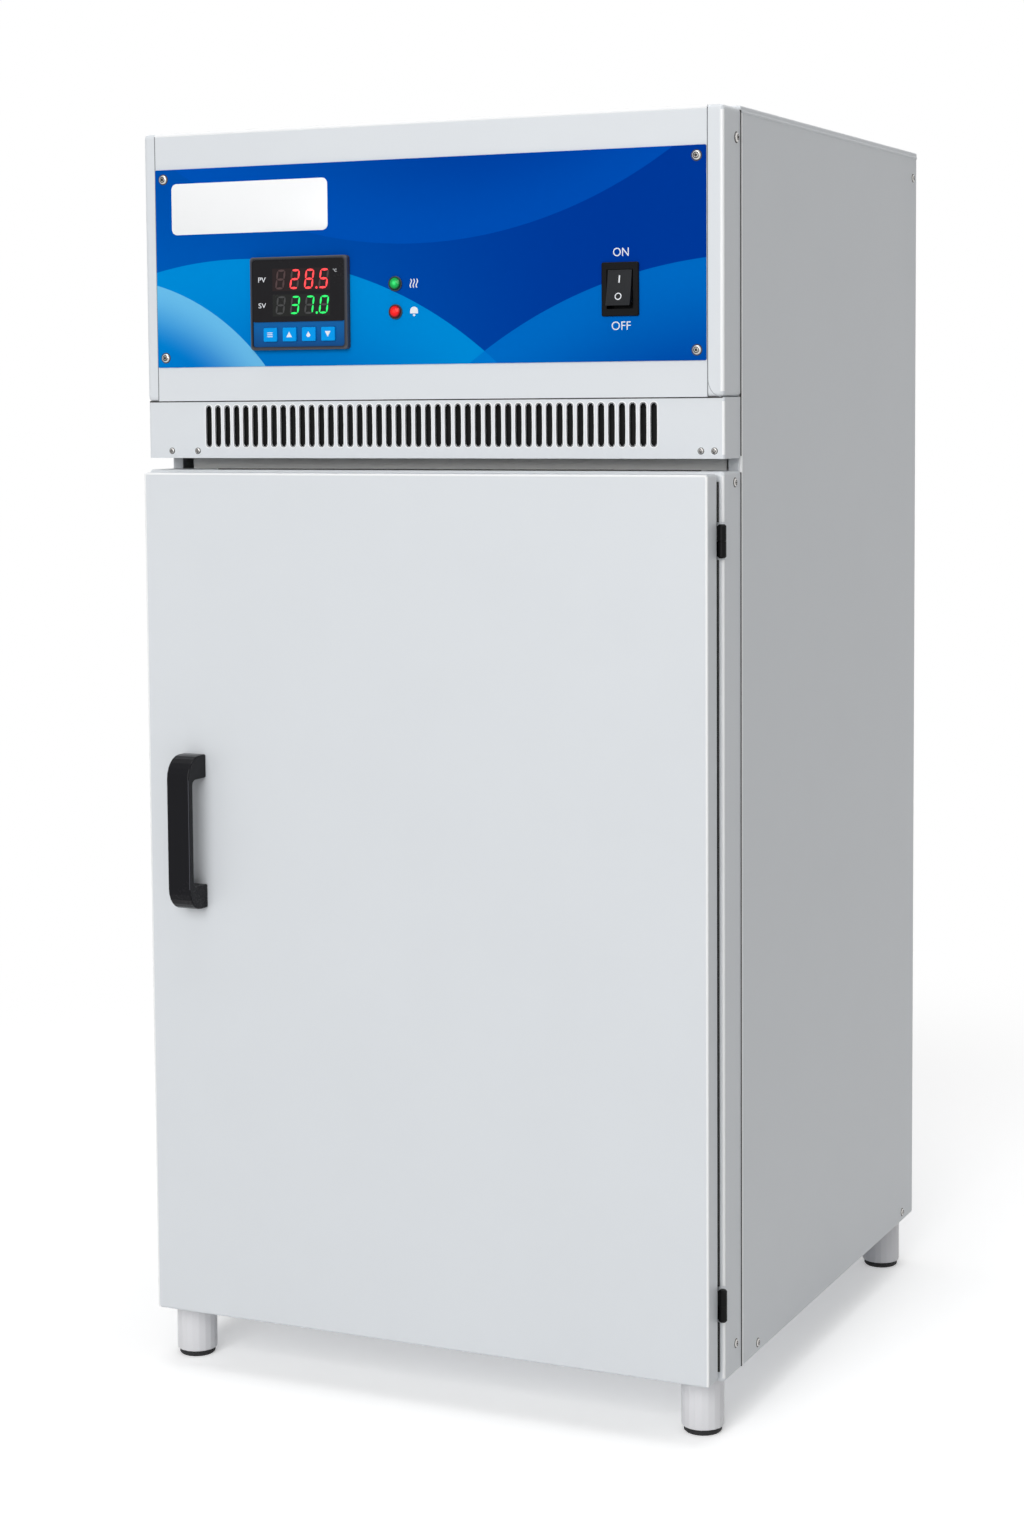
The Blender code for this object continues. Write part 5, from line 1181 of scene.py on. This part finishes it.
def model_waves():
    """Three upright wavy strokes side by side, drawn in XY, for the heating mark."""
    waves = []
    for number in range(3):
        wave = primitive(bpy.ops.mesh.primitive_grid_add, x_subdivisions=1, y_subdivisions=16, size=1.0)
        wave.scale = (WAVE_WIDTH, 1.0, 1.0)
        settle(wave)
        for vert in wave.data.vertices:
            vert.co.x += (number - 1) * WAVE_PITCH + WAVE_SWING * math.sin(2 * math.pi * vert.co.y)
        waves.append(wave)
    return joined(waves)


def model_bell():
    """A bell with its clapper, drawn in XY, for the alarm mark."""
    bell = primitive(bpy.ops.mesh.primitive_circle_add, vertices=24, radius=1.0, fill_type="NGON")
    for vert in bell.data.vertices:
        if vert.co.y < 0:
            vert.co.x *= 1.0 - BELL_FLARE * vert.co.y
            vert.co.y = max(vert.co.y * BELL_DROP, BELL_FOOT)
    clapper = primitive(
        bpy.ops.mesh.primitive_circle_add,
        vertices=16,
        radius=CLAPPER_RADIUS,
        fill_type="NGON",
        location=(0.0, -CLAPPER_DOWN, 0.0),
    )
    return joined([bell, clapper])


def make_plate_prints():
    """ON and OFF at the switch, and a mark beside each lamp in place of a word."""
    switch_low, switch_high = box_of("switch_housing")
    switch_x = (switch_low.x + switch_high.x) / 2 + SWITCH_WORD_SHIFT
    mark_x = high_of("heater_lamp_lens").x + LAMP_MARK_GAP
    lenses = ("heater_lamp_lens", "alarm_lamp_lens")
    heater_z, alarm_z = ((low_of(lens).z + high_of(lens).z) / 2 for lens in lenses)
    # Each print's shape, name, place across and up, width and height
    prints = (
        (lettering("ON"), "on_print", switch_x, switch_high.z + ON_GAP, 0.0163, 0.0081),
        (lettering("OFF"), "off_print", switch_x, switch_low.z - OFF_GAP, 0.0199, 0.0082),
        (model_waves(), "heating_mark", mark_x, heater_z, 0.0095, 0.0088),
        (model_bell(), "alarm_mark", mark_x, alarm_z, 0.0088, 0.0094),
    )
    for shape, name, x, z, width, height in prints:
        print_shape(shape, name, WHITE_PRINT, x, z, width, height, PLATE_FACE)


make_name_plate()
make_plate_prints()


# Controller: digits, small prints and key marks

DIGIT_SLANT = math.tan(math.radians(8))
BAR_RADIUS = 0.135
BAR_STRETCH = 0.31
LIT_SEGMENTS = {
    "0": "abcdef",
    "2": "abged",
    "3": "abgcd",
    "5": "afgcd",
    "7": "abc",
    "8": "abcdefg",
}
# Each segment's middle across and up, and whether it stands, in a digit one wide and two high
SEGMENT_PLACES = {
    "a": (0.0, 1.0, False),
    "b": (0.5, 0.5, True),
    "c": (0.5, -0.5, True),
    "d": (0.0, -1.0, False),
    "e": (-0.5, -0.5, True),
    "f": (-0.5, 0.5, True),
    "g": (0.0, 0.0, False),
}
# In shares of the window: a digit's width, where the four digits start and end, and the labels' middles
DIGIT_WIDTH = 0.078
DIGITS_START = 0.23
DIGITS_END = 0.862
LABELS_ACROSS = 0.105
UNIT_ACROSS = 0.905
UNIT_UP = 0.44
# Each row: its digits, middle and height in shares of the window, lit and unlit finishes, and its label
DIGIT_ROWS = {
    "upper": ("28.5", 0.685, 0.285, RED_SEGMENTS, UNLIT_RED, "PV", "measured_label"),
    "lower": ("37.0", 0.268, 0.262, GREEN_SEGMENTS, UNLIT_GREY, "SV", "set_label"),
}
TRIANGLE_ROUNDING = 0.10
DROP_POINT = 1.7
LEVEL_BAR_LENGTH = 3.4
LEVEL_BAR_HEIGHT = 0.42
POINT_SIZE = 0.0025
LABEL_WEIGHT = 0.004
LABEL_WIDTH = 0.0088
LABEL_HEIGHT = 0.0052
UNIT_WIDTH = 0.0044
UNIT_HEIGHT = 0.0030


def model_segment():
    """One bar of a digit, drawn in XY: a flat hexagon whose upright sides are drawn apart."""
    bar = primitive(bpy.ops.mesh.primitive_circle_add, vertices=6, radius=BAR_RADIUS, fill_type="NGON")
    for vert in bar.data.vertices:
        if abs(vert.co.x) > NEAR_ZERO:
            vert.co.x += math.copysign(BAR_STRETCH, vert.co.x)
    return bar


def make_digits(name, text, centres, z, width, height, material, unlit):
    """A row of digits: the bars that are lit, or those that aren't."""
    model = model_segment()
    slant = Matrix(((1, DIGIT_SLANT, 0, 0), (0, 1, 0, 0), (0, 0, 1, 0), (0, 0, 0, 1)))
    fit = slant @ Matrix.Diagonal((width, height / 2, 1.0, 1.0))
    bars = []
    for digit, x in zip(text, centres):
        for bar_name, (across_bar, up_bar, standing) in SEGMENT_PLACES.items():
            if (bar_name in LIT_SEGMENTS.get(digit, "")) == unlit:
                continue
            turn = Matrix.Rotation(math.pi / 2, 4, "Z") if standing else Matrix.Identity(4)
            bar = copy_to(model, Matrix.Translation((across_bar, up_bar, 0.0)) @ turn)
            bar.data.transform(Matrix.Translation((x, 0.0, 0.0)) @ fit)
            bars.append(bar)
    drop(model)
    row = joined(bars)
    settle(row)
    thicken(row, PRINT_RISE)
    row.data.transform(Matrix.Translation((0.0, WINDOW_FACE, z)) @ TURN_TO["front"])
    return deliver(row, name, material)


def spread(low_share, high_share, count):
    """Evenly spread middles of a count of digits between two shares of the window's width."""
    width = WINDOW_HIGH.x - WINDOW_LOW.x
    step = (high_share - low_share) / count
    return [WINDOW_LOW.x + width * (low_share + step * (number + 0.5)) for number in range(count)]


def make_display():
    """Both rows of digits with their unlit bars, the points, and the small prints beside them."""
    size = WINDOW_HIGH - WINDOW_LOW
    centres = spread(DIGITS_START, DIGITS_END, 4)
    width = size.x * DIGIT_WIDTH
    point_x = (centres[2] + centres[3]) / 2
    label_x = WINDOW_LOW.x + size.x * LABELS_ACROSS
    for level, (text, up, tall, lit, unlit, label, label_name) in DIGIT_ROWS.items():
        z = WINDOW_LOW.z + size.z * up
        height = size.z * tall
        digits = text.replace(".", "")
        make_digits(f"{level}_digits", digits, centres[1:], z, width, height, lit, False)
        make_digits(f"{level}_unlit_bars", " " + digits, centres, z, width, height, unlit, True)
        point = primitive(bpy.ops.mesh.primitive_circle_add, vertices=12, radius=1.0, fill_type="NGON")
        print_shape(point, f"{level}_point", lit, point_x, z - height / 2, POINT_SIZE, POINT_SIZE,
                    WINDOW_FACE)
        print_shape(lettering(label, LABEL_WEIGHT), label_name, WHITE_PRINT, label_x, z, LABEL_WIDTH,
                    LABEL_HEIGHT, WINDOW_FACE)
    _, up, tall, *_ = DIGIT_ROWS["upper"]
    unit_x = WINDOW_LOW.x + size.x * UNIT_ACROSS
    unit_z = WINDOW_LOW.z + size.z * (up + tall * UNIT_UP)
    print_shape(lettering("°C"), "unit_label", WHITE_PRINT, unit_x, unit_z, UNIT_WIDTH, UNIT_HEIGHT,
                WINDOW_FACE)


def model_triangle():
    """An upward triangle with softened points, drawn in XY."""
    triangle = primitive(bpy.ops.mesh.primitive_circle_add, vertices=3, radius=1.0, fill_type="NGON")
    edit(triangle, "VERT")
    bpy.ops.mesh.select_all(action="SELECT")
    bpy.ops.mesh.bevel(offset=TRIANGLE_ROUNDING, segments=3, affect="VERTICES")
    close_edit()
    return triangle


def model_drop():
    """A drop: a round lower half drawn up to a point, in XY."""
    droplet = primitive(bpy.ops.mesh.primitive_circle_add, vertices=24, radius=1.0, fill_type="NGON")
    for vert in droplet.data.vertices:
        if vert.co.y > 0:
            vert.co.x *= 1.0 - vert.co.y
            vert.co.y *= DROP_POINT
    return droplet


def model_bars():
    """Three short level bars, drawn in XY."""
    bars = []
    for number in range(3):
        bar = primitive(bpy.ops.mesh.primitive_plane_add, size=1.0, location=(0.0, number - 1.0, 0.0))
        bar.scale = (LEVEL_BAR_LENGTH, LEVEL_BAR_HEIGHT, 1.0)
        settle(bar)
        bars.append(bar)
    return joined(bars)


# Each key's mark: the key's body, the mark's shape, width and height, and whether it is turned over
KEY_MARKS = {
    "set_key": ("set_button", model_bars, 0.0062, 0.0046, False),
    "up_key": ("up_button", model_triangle, 0.0062, 0.0056, False),
    "shift_key": ("shift_button", model_drop, 0.0046, 0.0060, False),
    "down_key": ("down_button", model_triangle, 0.0062, 0.0056, True),
}


def make_key_marks():
    """The white mark on each key, which rides on the key."""
    for node, (body, model, width, height, turned_over) in KEY_MARKS.items():
        low, high = box_of(node)
        middle = (low + high) / 2
        mark = model()
        if turned_over:
            mark.data.transform(Matrix.Rotation(math.pi, 4, "Z"))
        print_shape(mark, f"{node}_mark", WHITE_PRINT, middle.x, middle.z, width, height, low.y, body)


make_display()
make_key_marks()


# Power rocker: its two marks, which lie on the tilted face

ROCKER_LEAN = math.radians(11)
ROCKER_FACE = 0.0070
ROCKER_HALF_LENGTH = 0.0175
ROCKER_DISH = 0.0008
MARK_UP = 0.0085
ON_BAR_WIDTH = 0.0013
ON_BAR_LENGTH = 0.0072
OFF_RING_RADIUS = 0.0035
OFF_RING_WIDTH = 0.0009


def model_on_bar():
    """A short upright bar drawn in XY."""
    bar = primitive(bpy.ops.mesh.primitive_grid_add, x_subdivisions=1, y_subdivisions=6, size=1.0)
    bar.scale = (ON_BAR_WIDTH, ON_BAR_LENGTH, 1.0)
    settle(bar)
    return bar


def model_off_ring():
    """A flat ring drawn in XY."""
    ring = primitive(bpy.ops.mesh.primitive_circle_add, vertices=32, radius=OFF_RING_RADIUS, fill_type="NGON")
    edit(ring)
    bpy.ops.mesh.select_all(action="SELECT")
    bpy.ops.mesh.inset(thickness=OFF_RING_WIDTH, depth=0.0)
    bpy.ops.mesh.delete(type="FACE")
    close_edit()
    return ring


def make_rocker_marks():
    """A bar for on and a ring for off, each raised a hair above the dished face."""
    joint = next(joint for joint in frame["joints"] if joint["name"] == "rocker_tilt")
    lean = Matrix.Translation(Vector(joint["pos_m"])) @ Matrix.Rotation(-ROCKER_LEAN, 4, "X")
    marks = (("rocker_bar_mark", model_on_bar, MARK_UP), ("rocker_ring_mark", model_off_ring, -MARK_UP))
    for name, model, up in marks:
        mark = model()
        thicken(mark, 3 * PRINT_RISE)
        share = up / ROCKER_HALF_LENGTH
        dish = ROCKER_DISH * (1 - share * share)
        stand = Matrix.Translation((0.0, dish - ROCKER_FACE + PRINT_RISE, up)) @ TURN_TO["front"]
        mark.data.transform(lean @ stand)
        deliver(mark, name, WHITE_PRINT, "rocker")


make_rocker_marks()


# Vent strip: a pressed rim of painted highlight and a dark inner edge of painted shade round each slot, and the
# dust screen behind, which also stands in for the shade inside

SLOT_COUNT = 46
SLOT_PITCH = 0.01105
SLOT_RADIUS = 0.0030
SLOT_LOW = VENT_LOW.z + 0.0117
SLOT_HIGH = VENT_HIGH.z - 0.0048
SLOTS_MIDDLE = Vector(((VENT_LOW.x + VENT_HIGH.x) / 2, VENT_LOW.y, (SLOT_LOW + SLOT_HIGH) / 2))
SHADE_WIDTH = 0.0005
SHADE_RISE = 0.0002
RIM_WIDTH = 0.0013
RIM_RISE = 0.00045
SCREEN_MARGIN = 0.008
SCREEN_WAVE = 0.0006
SCREEN_THICKNESS = 0.002
SCREEN_BEHIND = 0.0065


def model_slot_ring(inner, width, rise):
    """A thin rolled lip round one upright slot, drawn in XZ about the slot's middle."""
    rim = primitive(
        bpy.ops.mesh.primitive_torus_add,
        major_segments=20,
        minor_segments=8,
        major_radius=inner + width / 2,
        minor_radius=width / 2,
        rotation=(math.pi / 2, 0.0, 0.0),
    )
    settle(rim)
    rim.scale = (1.0, 2 * rise / width, 1.0)
    settle(rim)
    stretch = (SLOT_HIGH - SLOT_LOW) / 2 - SLOT_RADIUS
    for vert in rim.data.vertices:
        if abs(vert.co.z) > NEAR_ZERO:
            vert.co.z += math.copysign(stretch, vert.co.z)
    bpy.ops.object.shade_smooth_by_angle(angle=math.radians(60))
    return rim


def make_slot_highlight_rims():
    """A dark inner edge of painted shade and a bright rim of painted highlight round each slot."""
    layers = (
        ("slot_edges", SLOT_RADIUS, SHADE_WIDTH, SHADE_RISE, SCREEN_AND_SHADE_BLACK, "black_plastic"),
        ("slot_rims", SLOT_RADIUS + SHADE_WIDTH, RIM_WIDTH, RIM_RISE, HIGHLIGHT_WHITE, "white_paint"),
    )
    for name, inner, width, rise, material, slot in layers:
        model = model_slot_ring(inner, width, rise)
        rims = []
        for number in range(SLOT_COUNT):
            across = (number - (SLOT_COUNT - 1) / 2) * SLOT_PITCH
            rims.append(copy_to(model, Matrix.Translation(SLOTS_MIDDLE + Vector((across, 0.0, 0.0)))))
        drop(model)
        deliver(joined(rims), name, material)


def make_dust_and_shade_screen():
    """The black waved felt behind the slots, which hides the inside and stands in for its shade: painted shade."""
    folds = SLOT_COUNT + 1
    screen = primitive(bpy.ops.mesh.primitive_grid_add, x_subdivisions=2 * folds, y_subdivisions=10, size=1.0)
    screen.scale = (folds * SLOT_PITCH, SLOT_HIGH - SLOT_LOW + SCREEN_MARGIN, 1.0)
    settle(screen)
    for vert in screen.data.vertices:
        vert.co.z = SCREEN_WAVE * math.sin(vert.co.x / SLOT_PITCH * math.pi)
    thicken(screen, SCREEN_THICKNESS, offset=-1.0)
    place = SLOTS_MIDDLE + Vector((0.0, SCREEN_BEHIND, 0.0))
    screen.data.transform(Matrix.Translation(place) @ TURN_TO["front"])
    deliver(screen, "dust_screen", SCREEN_AND_SHADE_BLACK)


make_slot_highlight_rims()
make_dust_and_shade_screen()
